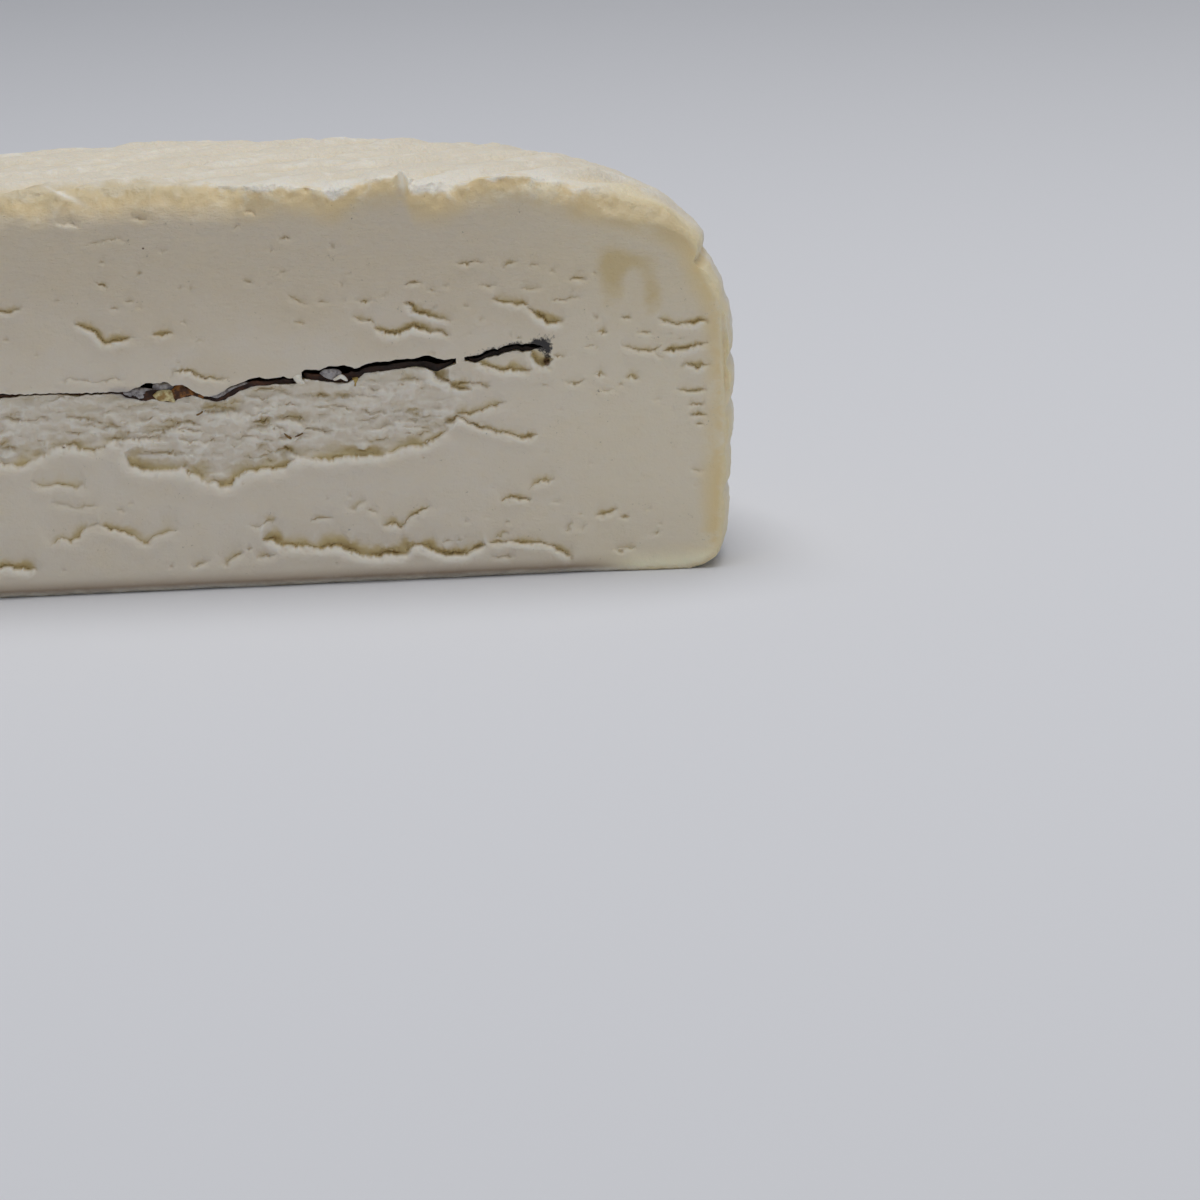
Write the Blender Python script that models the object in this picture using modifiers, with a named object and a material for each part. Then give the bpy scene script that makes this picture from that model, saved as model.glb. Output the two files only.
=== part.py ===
# Half of a round soft goat cheese, standing on its flat underside with the cut face to the
# front, at -Y. The wheel was cut just in front of its axis, so this half is the larger one.
# The rind has a broad soft shoulder, a wall with horizontal ribs and a top with worm-like
# ridges. A thin brown leaf lies inside at mid height, and its slot is open at the cut face.

import math
import random

import bpy
import bmesh

MM = 0.001

# Driving dimensions
RADIUS = 57.2 * MM  # the wheel's widest radius
HEIGHT = 40.6 * MM  # the top, without its ridges
CUT_OFFSET = 9.0 * MM  # how far the cut runs in front of the wheel's axis
SHOULDER_RADIUS = 37.0 * MM  # where the flat top ends
BOTTOM_RADIUS = 52.4 * MM  # the flat the cheese rests on

RIB_PITCH = 4.68 * MM  # ribs round the wall
RIB_DEPTH = 0.55 * MM
RIB_LOW = 3.2 * MM  # height of the lowest groove between two ribs
RIB_COUNT = 7

RIDGE_PITCH = 4.6 * MM  # ridges across the top
RIDGE_HEIGHT = 0.5 * MM
RIDGE_ANGLE = math.radians(40.0)

LEAF_RADIUS = 38.4 * MM  # the leaf's margin, measured from the wheel's axis
LEAF_THICKNESS = 0.5 * MM
LEAF_LEVEL = 20.4 * MM
LEAF_SETBACK = 0.5 * MM  # the leaf's cut edge lies this far behind the cut face
SLOT_GAP = 0.38 * MM  # clearance above and below the leaf
SLOT_MARGIN = 0.8 * MM  # clearance round the leaf's margin
MOUTH_GAP = 0.5 * MM  # how much wider the slot opens above the leaf at the cut face

TORN_DEPTH = 1.9 * MM  # the flaky hollow under the leaf
TORN_LEFT = -27.0 * MM
TORN_RIGHT = 31.0 * MM

# Each crack in the cut face: its points (x, z) in millimetres, then its width and depth.
CRACKS = [
    ([(-8.3, 27.6), (-5.6, 25.7), (-2.3, 25.8)], 0.9, 0.9),
    ([(13.0, 29.2), (15.0, 28.5), (21.2, 28.6)], 0.6, 0.5),
    ([(19.3, 27.0), (23.3, 25.2), (28.7, 24.9)], 1.0, 1.1),
    ([(24.5, 28.2), (26.2, 26.9), (29.2, 26.2)], 0.8, 0.8),
    ([(33.3, 28.1), (37.0, 27.4), (38.2, 25.7), (40.3, 25.6)], 0.8, 0.9),
    ([(31.4, 21.5), (34.1, 20.7), (37.2, 20.7)], 0.8, 0.8),
    ([(45.9, 23.2), (49.7, 22.2), (53.6, 22.5)], 0.8, 0.8),
    ([(49.6, 25.4), (53.6, 24.8)], 0.7, 0.7),
    ([(29.1, 16.3), (33.6, 14.5), (37.2, 14.3)], 0.8, 0.9),
    ([(18.2, 8.6), (26.4, 7.3)], 1.2, 0.5),
    ([(36.0, 8.9), (38.8, 9.8)], 0.8, 0.6),
    ([(32.6, 7.9), (36.1, 7.7)], 0.8, 0.6),
    ([(-10.5, 5.6), (-6.9, 7.2), (-2.3, 5.1), (0.8, 6.3)], 1.1, 0.7),
    ([(2.0, 2.6), (7.0, 3.4), (13.5, 4.2), (20.0, 2.9), (27.0, 2.7), (34.0, 3.4), (40.2, 1.9)], 1.1, 1.4),
    ([(-44.0, 25.2), (-38.5, 26.3), (-33.0, 25.6)], 0.9, 0.9),
    ([(-30.0, 29.4), (-25.0, 28.4)], 0.7, 0.7),
    ([(-53.4, 22.4), (-47.5, 23.2)], 0.8, 0.8),
    ([(-43.0, 12.6), (-37.5, 14.2), (-34.0, 13.5)], 0.8, 0.8),
    ([(-33.0, 3.2), (-24.0, 4.0), (-15.0, 3.0)], 1.1, 1.1),
]
PIT_COUNT = 26
PIT_WIDTH = 0.75 * MM
PIT_SEED = 11

# Mesh density
TURN_STEPS = 150
RIND_STEP = 1.25 * MM
FACE_STEP = 0.85 * MM
LEAF_COLUMNS = 36
LEAF_ROWS = 14
WELD_DISTANCE = 0.05 * MM
CHEESE_TRIANGLES = 9400

CUT_Y = -(RADIUS + CUT_OFFSET) / 2
AXIS_Y = CUT_Y + CUT_OFFSET


def smooth_step(low, high, value):
    """0 at low, 1 at high, with a soft start and end between them; low may be the larger."""
    t = min(max((value - low) / (high - low), 0.0), 1.0)
    return t * t * (3.0 - 2.0 * t)


def rind_outline():
    """The wheel's section from the top's centre to the underside's, as (radius, height)."""
    corners = [
        (0.0, HEIGHT),
        (SHOULDER_RADIUS * 0.6, HEIGHT - 0.05 * MM),
        (SHOULDER_RADIUS, HEIGHT - 0.3 * MM),
        (RADIUS - 12.4 * MM, HEIGHT - 2.9 * MM),
        (RADIUS - 4.0 * MM, HEIGHT - 6.1 * MM),
        (RADIUS - 2.4 * MM, HEIGHT - 8.6 * MM),
        (RADIUS - 0.4 * MM, HEIGHT * 0.66),
        (RADIUS, HEIGHT * 0.48),
        (RADIUS - 0.7 * MM, HEIGHT * 0.24),
        (RADIUS - 1.5 * MM, 2.3 * MM),
        (RADIUS - 2.7 * MM, 0.7 * MM),
        (BOTTOM_RADIUS, 0.0),
    ]
    ends = [corners[0]] + corners + [corners[-1]]
    outline = []
    for before, start, end, after in zip(ends, ends[1:], ends[2:], ends[3:]):
        steps = max(1, round(math.dist(start, end) / RIND_STEP))
        for step in range(steps):
            outline.append(spline_point(before, start, end, after, step / steps))
    outline.append(corners[-1])
    return [(r - rib_groove(z) if r > SHOULDER_RADIUS else r, z) for r, z in outline]


def spline_point(before, start, end, after, t):
    """A point between start and end on a smooth curve through all four points."""
    point = []
    for a, b, c, d in zip(before, start, end, after):
        slope = (c - a) * t
        bend = (2 * a - 5 * b + 4 * c - d) * t ** 2
        turn = (3 * b - a - 3 * c + d) * t ** 3
        point.append(0.5 * (2 * b + slope + bend + turn))
    return tuple(point)


def rib_groove(z):
    """Depth of the narrow grooves between the wall's ribs at height z."""
    depth = 0.0
    for rib in range(RIB_COUNT):
        offset = (z - RIB_LOW - rib * RIB_PITCH) / (0.2 * RIB_PITCH)
        depth += RIB_DEPTH * math.exp(-offset * offset)
    return depth


def top_ridge(x, y):
    """Height of the top's wandering parallel ridges, which fade out over the shoulder."""
    across = y * math.cos(RIDGE_ANGLE) - x * math.sin(RIDGE_ANGLE)
    along = x * math.cos(RIDGE_ANGLE) + y * math.sin(RIDGE_ANGLE)
    wander = 1.1 * MM * math.sin(along / (8.0 * MM))
    wander += 0.6 * MM * math.sin(along / (3.7 * MM) + across / (6.0 * MM))
    ridge = math.cos(2.0 * math.pi * (across + wander) / RIDGE_PITCH)
    swell = 0.65 + 0.35 * math.sin(along / (5.3 * MM) + 2.0 * across / RIDGE_PITCH)
    fade = 1.0 - smooth_step(0.74 * RADIUS, 0.97 * RADIUS, math.hypot(x, y - AXIS_Y))
    return RIDGE_HEIGHT * ridge * swell * fade


def leaf_height(x, y):
    """Height of the leaf's middle surface: dished, rippled, and folded along its midrib."""
    bowl = (x * x + (y - AXIS_Y) ** 2 - CUT_OFFSET ** 2) / (680.0 * MM)
    fold = -1.0 * MM * math.exp(-((x - 5.0 * MM) / (1.8 * MM)) ** 2)
    fold -= 0.9 * MM * math.exp(-((x + 1.6 * MM) / (1.9 * MM)) ** 2)
    ripple = 0.22 * MM * math.sin(x / (3.1 * MM) + y / (6.0 * MM)) * math.cos(y / (4.3 * MM))
    return LEAF_LEVEL + bowl + 0.02 * x + fold + ripple


def torn_depth(x, z):
    """Depth of the torn hollow: deepest over its lower lip, with steps like split flakes."""
    lip = 12.6 * MM + 0.8 * MM * math.sin(x / (3.0 * MM)) + 0.5 * MM * math.sin(x / (1.3 * MM) + 1.0)
    lip += 5.0 * MM * smooth_step(TORN_RIGHT - 10.0 * MM, TORN_RIGHT, x)
    lip += 4.0 * MM * smooth_step(TORN_LEFT + 9.0 * MM, TORN_LEFT, x)
    ceiling = leaf_height(x, CUT_Y)
    height = min(max((z - lip) / (ceiling - lip), 0.0), 1.0)
    sides = smooth_step(TORN_LEFT, TORN_LEFT + 7.0 * MM, x)
    sides *= smooth_step(TORN_RIGHT, TORN_RIGHT - 4.0 * MM, x)
    rows = math.sin(2.0 * math.pi * (z + 0.7 * MM * math.sin(x / (2.6 * MM))) / (2.3 * MM))
    body = TORN_DEPTH * (1.0 - 0.62 * height) + 0.28 * MM * rows
    return body * sides * smooth_step(lip - 0.2 * MM, lip + 0.7 * MM, z) * (1.0 if z < ceiling else 0.0)


def crack_depth(x, z, points, width, depth):
    """A tapering groove along a bent line, steep above and with a raised lip below."""
    total = 0.0
    deepest = 0.0
    length = sum(math.dist(a, b) for a, b in zip(points, points[1:]))
    for (x0, z0), (x1, z1) in zip(points, points[1:]):
        run = math.dist((x0, z0), (x1, z1))
        t = min(max(((x - x0) * (x1 - x0) + (z - z0) * (z1 - z0)) / (run * run), 0.0), 1.0)
        below = z - (z0 + t * (z1 - z0))
        gap = math.hypot(x - (x0 + t * (x1 - x0)), below)
        place = (total + t * run) / length
        taper = math.sqrt(max(4.0 * place * (1.0 - place), 0.05))
        if gap < 2.5 * width:
            groove = math.exp(-((gap / (0.55 * width)) ** 2))
            lip = 0.3 * math.exp(-(((below + 0.9 * width) / (0.6 * width)) ** 2))
            lip *= math.exp(-((gap / width) ** 4))
            value = depth * taper * (groove - lip)
            if abs(value) > abs(deepest):
                deepest = value
        total += run
    return deepest


def pits():
    """Small pits scattered over the cut face, as one-segment cracks."""
    draw = random.Random(PIT_SEED)
    found = []
    for _ in range(PIT_COUNT):
        x = draw.uniform(-0.88, 0.88) * RADIUS
        z = draw.uniform(0.12, 0.78) * HEIGHT
        half = draw.uniform(0.7, 1.6) * MM
        rise = draw.uniform(-0.3, 0.3) * MM
        depth = draw.uniform(0.35, 0.6) * MM
        found.append(([(x - half, z - rise), (x + half, z + rise)], PIT_WIDTH, depth))
    return found


def face_depth(x, z, cracks):
    """How far the cut face lies behind the flat cut plane at (x, z)."""
    depth = 0.12 * MM * math.sin(x / (9.0 * MM) + 1.0) * math.sin(z / (7.0 * MM)) + torn_depth(x, z)
    for points, width, deep in cracks:
        depth += crack_depth(x, z, points, width, deep)
    return max(depth, -0.35 * MM)


def make_material(name, color, roughness):
    """A Principled material in one colour."""
    material = bpy.data.materials.new(name)
    material.use_nodes = True
    shader = material.node_tree.nodes["Principled BSDF"]
    shader.inputs["Base Color"].default_value = (*color, 1.0)
    shader.inputs["Roughness"].default_value = roughness
    shader.inputs["Metallic"].default_value = 0.0
    return material


def add_object(name, mesh, collection, material=None):
    """Link a mesh as a new object."""
    obj = bpy.data.objects.new(name, mesh)
    collection.objects.link(obj)
    if material:
        mesh.materials.append(material)
    return obj


def mesh_from(bm, name):
    """Turn a bmesh into a mesh with its faces pointing out."""
    bmesh.ops.recalc_face_normals(bm, faces=bm.faces)
    mesh = bpy.data.meshes.new(name)
    bm.to_mesh(mesh)
    bm.free()
    return mesh


def add_cutter(name, mesh, collection):
    """An object that only cuts: drawn as wire and never rendered."""
    cutter = add_object(name, mesh, collection)
    cutter.hide_render = True
    cutter.display_type = "WIRE"
    return cutter


def apply_modifiers(obj):
    """Replace an object's mesh with its evaluated one."""
    depsgraph = bpy.context.evaluated_depsgraph_get()
    mesh = bpy.data.meshes.new_from_object(obj.evaluated_get(depsgraph))
    obj.modifiers.clear()
    obj.data = mesh


def turned_wheel(collection, material):
    """The whole wheel: its outline turned about the axis, with ridges over the top."""
    outline = rind_outline()
    bm = bmesh.new()
    points = [bm.verts.new((r, 0.0, z)) for r, z in outline]
    points.append(bm.verts.new((0.0, 0.0, 0.0)))
    for start, end in zip(points, points[1:]):
        bm.edges.new((start, end))
    mesh = bpy.data.meshes.new("wheel")
    bm.to_mesh(mesh)
    bm.free()
    wheel = add_object("cheese_half", mesh, collection, material)
    screw = wheel.modifiers.new("turn", "SCREW")
    screw.axis = "Z"
    screw.angle = 2.0 * math.pi
    screw.steps = TURN_STEPS
    screw.render_steps = TURN_STEPS
    screw.use_merge_vertices = True
    screw.merge_threshold = 0.00001
    apply_modifiers(wheel)
    for vertex in wheel.data.vertices:
        x, y, z = vertex.co
        lift = top_ridge(x, y + AXIS_Y) if z > 0.6 * HEIGHT else 0.0
        vertex.co = (x, y + AXIS_Y, z + lift)
    return wheel


def face_cutter(collection):
    """Everything in front of the cut face: a grid moved to the face's relief, then thickened."""
    width = 2.0 * RADIUS + 6.0 * MM
    height = HEIGHT + 6.0 * MM
    bm = bmesh.new()
    bmesh.ops.create_grid(
        bm, x_segments=round(width / FACE_STEP), y_segments=round(height / FACE_STEP), size=0.5
    )
    cracks = pits()
    for points, across, deep in CRACKS:
        cracks.append(([(x * MM, z * MM) for x, z in points], across * MM, deep * MM))
    for vertex in bm.verts:
        x = vertex.co.x * width
        z = vertex.co.y * height + HEIGHT / 2
        vertex.co = (x, CUT_Y + face_depth(x, z, cracks), z)
    made = bmesh.ops.extrude_face_region(bm, geom=bm.faces[:], use_keep_orig=True)["geom"]
    for item in made:
        if isinstance(item, bmesh.types.BMVert):
            item.co.y = CUT_Y - RADIUS - CUT_OFFSET - 3.0 * MM
    return add_cutter("face_cutter", mesh_from(bm, "face_cutter"), collection)


def leaf_grid(bm, margin, front):
    """A grid over the leaf's plan shape, from y = front back to its rounded tip."""
    bmesh.ops.create_grid(bm, x_segments=LEAF_COLUMNS, y_segments=LEAF_ROWS, size=1.0)
    radius = LEAF_RADIUS + margin
    back = AXIS_Y + 0.96 * radius
    for vertex in bm.verts:
        across, depth = vertex.co.x, (vertex.co.y + 1.0) / 2.0
        y = front + depth * (back - front)
        half = math.sqrt(max(radius ** 2 - (y - AXIS_Y) ** 2, 0.0))
        x = across * half
        vertex.co = (x, y, leaf_height(x, y))


def slot_cutter(collection):
    """The space that the leaf lies in, a little wider at the mouth above the leaf."""
    bm = bmesh.new()
    leaf_grid(bm, SLOT_MARGIN, CUT_Y - 3.0 * MM)
    floor_gap = LEAF_THICKNESS / 2 + SLOT_GAP
    made = bmesh.ops.extrude_face_region(bm, geom=bm.faces[:], use_keep_orig=True)["geom"]
    raised = {item for item in made if isinstance(item, bmesh.types.BMVert)}
    for vertex in bm.verts:
        mouth = MOUTH_GAP * smooth_step(CUT_Y + 9.0 * MM, CUT_Y, vertex.co.y)
        vertex.co.z += floor_gap + mouth if vertex in raised else -floor_gap
    return add_cutter("slot_cutter", mesh_from(bm, "slot_cutter"), collection)


def weld_slivers(mesh):
    """Triangulate a cut mesh and merge the points that its cuts left almost touching."""
    bm = bmesh.new()
    bm.from_mesh(mesh)
    bmesh.ops.triangulate(bm, faces=bm.faces[:])
    bmesh.ops.remove_doubles(bm, verts=bm.verts[:], dist=WELD_DISTANCE)
    bmesh.ops.dissolve_degenerate(bm, edges=bm.edges[:], dist=WELD_DISTANCE / 2)
    bmesh.ops.triangulate(bm, faces=bm.faces[:])
    bm.to_mesh(mesh)
    bm.free()


def make_cheese(parts, cutters):
    """Cut the wheel along the face's relief, then cut the leaf's slot, then thin the mesh."""
    cheese = turned_wheel(parts, make_material("cheese", (0.80, 0.76, 0.66), 0.6))
    for cutter in (face_cutter(cutters), slot_cutter(cutters)):
        cut = cheese.modifiers.new("cut", "BOOLEAN")
        cut.operation = "DIFFERENCE"
        cut.solver = "EXACT"
        cut.object = cutter
    apply_modifiers(cheese)
    weld_slivers(cheese.data)
    thin = cheese.modifiers.new("thin", "DECIMATE")
    thin.ratio = min(1.0, CHEESE_TRIANGLES / len(cheese.data.polygons))
    thin.use_collapse_triangulate = True
    apply_modifiers(cheese)
    cheese.data.shade_smooth()
    cheese.data.set_sharp_from_angle(angle=math.radians(40.0))
    return cheese


def make_leaf(parts):
    """The leaf: a wavy sheet whose two faces are split into triangles alike."""
    bm = bmesh.new()
    leaf_grid(bm, 0.0, CUT_Y + LEAF_SETBACK)
    bmesh.ops.triangulate(bm, faces=bm.faces[:])
    brown = make_material("leaf", (0.16, 0.07, 0.035), 0.7)
    leaf = add_object("leaf", mesh_from(bm, "leaf"), parts, brown)
    wall = leaf.modifiers.new("thickness", "SOLIDIFY")
    wall.thickness = LEAF_THICKNESS
    wall.offset = 0.0
    leaf.data.shade_smooth()
    return leaf


def main():
    for obj in list(bpy.data.objects):
        bpy.data.objects.remove(obj, do_unlink=True)
    parts = bpy.data.collections.new("leaf_goat_cheese")
    cutters = bpy.data.collections.new("cutters")
    for collection in (parts, cutters):
        bpy.context.scene.collection.children.link(collection)
    make_cheese(parts, cutters)
    make_leaf(parts)


main()
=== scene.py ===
import math

import bmesh
import bpy
import numpy as np
from mathutils import Matrix


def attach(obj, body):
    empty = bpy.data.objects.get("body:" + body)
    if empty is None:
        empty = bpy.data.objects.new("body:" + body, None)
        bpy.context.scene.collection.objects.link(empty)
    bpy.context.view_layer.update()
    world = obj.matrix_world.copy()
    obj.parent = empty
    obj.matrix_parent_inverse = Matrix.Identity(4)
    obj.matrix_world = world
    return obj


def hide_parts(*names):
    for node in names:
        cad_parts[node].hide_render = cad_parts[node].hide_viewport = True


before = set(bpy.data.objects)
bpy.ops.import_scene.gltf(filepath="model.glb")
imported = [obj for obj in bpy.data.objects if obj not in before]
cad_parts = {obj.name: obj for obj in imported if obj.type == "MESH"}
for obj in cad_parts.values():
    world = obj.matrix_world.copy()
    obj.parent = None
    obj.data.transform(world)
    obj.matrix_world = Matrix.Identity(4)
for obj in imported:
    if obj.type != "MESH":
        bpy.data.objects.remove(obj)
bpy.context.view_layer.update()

# Half of a round soft goat cheese with a thin leaf through its middle. Sizes are in
# millimetres, and meshes are scaled to metres as they are made. The cut face looks to -Y.
mm = 0.001
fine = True

wheel = {
    "radius": 57.2,          # widest radius of the whole wheel
    "height": 40.6,          # the top without its ridges
    "cutOffset": 9.0,        # the cut runs this far in front of the wheel's axis
    "shoulder": 37.0,        # radius where the flat top ends
    "foot": 52.4,            # radius of the flat underside
    # grooves between the ribs round the wall: how high, and how deep of the full depth
    "grooves": [(1.8, 0.4), (7.6, 1), (11.7, 0.8), (16, 0.8), (20.5, 0.9), (26.5, 0.5), (31.1, 0.9)],
    "ribDepth": 0.62,        # full depth of a groove
    "grooveWidth": 0.8,
    "edgeGroove": 0.7,       # the highest groove is this much deeper beside the cut
    "ridgePitch": 4.6,       # wandering ridges across the top
    "ridgeHeight": 0.5,
    "ridgeAngle": 40.0,
    "mounds": 0.26,          # low mounds between the ridges
    "lean": 0.019,           # the top falls this much to the back, for each millimetre
    "lumps": 0.16,           # soft bumps of the bloom
    "rindStep": 0.42 if fine else 0.8,
    "rindTriangles": 62000 if fine else 30000,
}
cutY = -(wheel["radius"] + wheel["cutOffset"]) / 2      # the half's plan box is centred
axisY = cutY + wheel["cutOffset"]


# Noise and curves

# A fixed pseudo-random number between 0 and 1 for each lattice point, from integer mixing.
def latticeHash(ix, iy, iz, seed):
    h = ix.astype(np.uint32) * np.uint32(374761393)
    h = h + iy.astype(np.uint32) * np.uint32(668265263)
    h = h + iz.astype(np.uint32) * np.uint32(2246822519) + np.uint32(seed * 7919)
    h = (h ^ (h >> np.uint32(13))) * np.uint32(1274126177)
    return (h ^ (h >> np.uint32(16))).astype(np.float64) / 4294967295.0


# Value noise from -1 to 1: the eight lattice values round a point, mixed by smooth weights.
def noise(x, y, z, seed):
    x, y, z = np.broadcast_arrays(x, y, z)
    ix, iy, iz = np.floor(x), np.floor(y), np.floor(z)
    fx, fy, fz = x - ix, y - iy, z - iz
    fx, fy, fz = (f * f * (3 - 2 * f) for f in (fx, fy, fz))
    ix, iy, iz = (i.astype(np.int64) for i in (ix, iy, iz))
    total = 0.0
    for cx, cy, cz in np.ndindex(2, 2, 2):
        weight = (fx if cx else 1 - fx) * (fy if cy else 1 - fy) * (fz if cz else 1 - fz)
        total = total + weight * latticeHash(ix + cx, iy + cy, iz + cz, seed)
    return 2 * total - 1


# Octaves of noise, each half as large and half as high as the one before.
def cloud(x, y, z, seed, octaves=3):
    total, height = 0.0, 1.0
    for octave in range(octaves):
        scale = 2.0 ** octave
        total = total + height * noise(x * scale, y * scale, z * scale, seed + octave)
        height *= 0.5
    return total / (2 - 2 * height)


# 0 at low and 1 at high, with a soft start and end.
def smoothStep(low, high, value):
    t = np.clip((value - low) / (high - low), 0, 1)
    return t * t * (3 - 2 * t)


# A bell of height 1 about the middle.
def bell(value, middle, width):
    return np.exp(-((value - middle) / width) ** 2)


# A smooth curve through corner points: each stretch is the cubic set by its four nearest.
def smoothCurve(corners, step):
    corners = np.array(corners, float)
    ends = np.vstack([corners[:1], corners, corners[-1:]])
    parts = []
    for a, b, c, d in zip(ends, ends[1:], ends[2:], ends[3:]):
        count = max(1, round(float(np.linalg.norm(c - b)) / step))
        t = (np.arange(count) / count)[:, None]
        bend = 2 * a - 5 * b + 4 * c - d
        turn = 3 * b - a - 3 * c + d
        parts.append(0.5 * (2 * b + (c - a) * t + bend * t ** 2 + turn * t ** 3))
    return np.vstack(parts + [corners[-1:]])


# Meshes

# A mesh from numpy points in millimetres and a list of faces, linked to the scene.
def meshPiece(name, points, faces):
    mesh = bpy.data.meshes.new(name)
    mesh.from_pydata((np.asarray(points, float) * mm).tolist(), [], faces)
    mesh.update()
    piece = bpy.data.objects.new(name, mesh)
    bpy.context.scene.collection.objects.link(piece)
    return piece


# Quads between the rows and columns of a grid; a ring joins its last column to its first.
def gridFaces(rows, columns, ring=False, start=0):
    across = columns if ring else columns - 1
    row, column = np.meshgrid(np.arange(rows - 1), np.arange(across), indexing="ij")
    after = (column + 1) % columns
    a, b = row * columns + column, row * columns + after
    return start + np.stack([a, b, b + columns, a + columns], -1).reshape(-1, 4)


# Modifiers become part of the mesh.
def applyModifiers(piece):
    graph = bpy.context.evaluated_depsgraph_get()
    mesh = bpy.data.meshes.new_from_object(piece.evaluated_get(graph))
    piece.modifiers.clear()
    piece.data = mesh


# Fewer triangles, kept where the surface bends most.
def thinTo(piece, triangles):
    mesh = piece.data
    count = sum(len(face.vertices) - 2 for face in mesh.polygons)
    if count > triangles:
        thin = piece.modifiers.new("thin", "DECIMATE")
        thin.ratio = triangles / count
        thin.use_collapse_triangulate = True
        applyModifiers(piece)


# Points that lie almost together become one, and every face is turned outwards.
def weld(piece, distance):
    bm = bmesh.new()
    bm.from_mesh(piece.data)
    bmesh.ops.remove_doubles(bm, verts=bm.verts[:], dist=distance * mm)
    bmesh.ops.dissolve_degenerate(bm, edges=bm.edges[:], dist=distance * mm / 2)
    bmesh.ops.triangulate(bm, faces=bm.faces[:])
    bmesh.ops.recalc_face_normals(bm, faces=bm.faces[:])
    bm.to_mesh(piece.data)
    bm.free()


# Vertex positions in millimetres, as three columns.
def pointsOf(piece):
    co = np.empty(len(piece.data.vertices) * 3)
    piece.data.vertices.foreach_get("co", co)
    return co.reshape(-1, 3) / mm


# A number for each vertex that the material reads.
def addField(piece, name, values):
    field = piece.data.attributes.new(name, "FLOAT", "POINT")
    field.data.foreach_set("value", np.asarray(values, np.float32))


# The wheel and its rind

# The wheel's section from the top's centre to the underside's, as radius and height.
def wheelOutline(step):
    r, h = wheel["radius"], wheel["height"]
    corners = [
        (0, h), (wheel["shoulder"] * 0.6, h - 0.05), (wheel["shoulder"], h - 0.3),
        (r - 15.2, h - 0.9), (r - 11.9, h - 1.9), (r - 6.6, h - 4.1), (r - 4.2, h - 6.2),
        (r - 2.6, h - 8.0), (r - 1.7, h - 11.2), (r - 0.4, h * 0.65), (r, h * 0.48),
        (r - 0.7, h * 0.24), (r - 1.5, 2.3), (r - 2.7, 0.7), (wheel["foot"], 0),
    ]
    return smoothCurve(corners, step)


topOutline = wheelOutline(0.5)
topOutline = topOutline[:np.argmax(topOutline[:, 0])]


# How far the grooves between the ribs are cut into the wall: a narrow bell at each level,
# wandering up and down and fading in places round the wheel. The highest one doesn't wander
# beside the cut, and is deeper there.
def ribGroove(x, y, z):
    wander = 0.5 * cloud(x / 9, y / 9, 0, 21, 2)
    weight = 0.8 + 0.45 * noise(x / 7, y / 7, z / 5, 22)
    width, depth = wheel["grooveWidth"], 0
    for level, share in wheel["grooves"]:
        depth = depth + share * bell(z + wander, level, width)
    highest = wheel["grooves"][-1][0]
    depth = depth + wheel["edgeGroove"] * bell(z, highest, width) * smoothStep(12, 1, y - cutY)
    return wheel["ribDepth"] * weight * depth


# Height of the top's ridges: a cosine across their direction, bent by slow waves along it.
def topRidge(x, y):
    angle = math.radians(wheel["ridgeAngle"])
    across = y * math.cos(angle) - x * math.sin(angle)
    way = x * math.cos(angle) + y * math.sin(angle)
    wander = 1.1 * np.sin(way / 8.0) + 0.6 * np.sin(way / 3.7 + across / 6.0)
    wander = wander + 0.5 * cloud(x / 5, y / 5, 0, 31, 2)
    ridge = np.cos(2 * math.pi * (across + wander) / wheel["ridgePitch"])
    swell = 0.65 + 0.35 * np.sin(way / 5.3 + 2.0 * across / wheel["ridgePitch"])
    radius = np.hypot(x, y - axisY)
    fade = 1 - smoothStep(0.8 * wheel["radius"], 0.99 * wheel["radius"], radius)
    return wheel["ridgeHeight"] * ridge * swell * fade


# Height of the rind's edge along the top of the cut, as (x, z).
topEdge = [
    (-50, 35.2), (-46, 37), (-41.5, 39.2), (-37, 39), (-33.5, 40.4), (-29, 39.5), (-24, 40.7), (-19, 39.6),
    (-14.5, 40.6), (-11.5, 40.1), (-8.8, 40.6), (-5.4, 40.4), (-1.9, 40.7), (2.6, 40.6), (8.5, 39.8),
    (12, 40.3), (17.8, 39.4), (22.8, 40.7), (24, 40.6), (24.8, 41.4), (25.4, 40.2), (25.9, 39.3),
    (28.7, 38.9), (34.7, 40.1), (39.1, 39.5), (44.4, 37.7), (48.3, 36.4), (52.2, 34.6),
]
topEdgeCurve = smoothCurve(topEdge, 0.3)


# How far the top lies over its plain outline: its ridges and mounds less its lean to the back,
# and over the cut what brings its edge to the height seen there, fading backwards.
def topLift(x, y):
    plain = np.interp(np.hypot(x, cutY - axisY), topOutline[:, 0], topOutline[:, 1])
    wanted = np.interp(x, topEdgeCurve[:, 0], topEdgeCurve[:, 1])
    wanted = wanted + 0.14 * cloud(x / 1.3, 0, 0, 32, 3)
    scallop = (wanted - plain) * smoothStep(52, 47, np.abs(x))
    near = np.exp(-((y - cutY) / 2.6) ** 2)
    mounds = wheel["mounds"] * cloud(x / 2.7, y / 2.7, 0, 33, 2)
    lean = -wheel["lean"] * (y - cutY)
    return (topRidge(x, y) + mounds + lean) * (1 - near) + scallop * near


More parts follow.
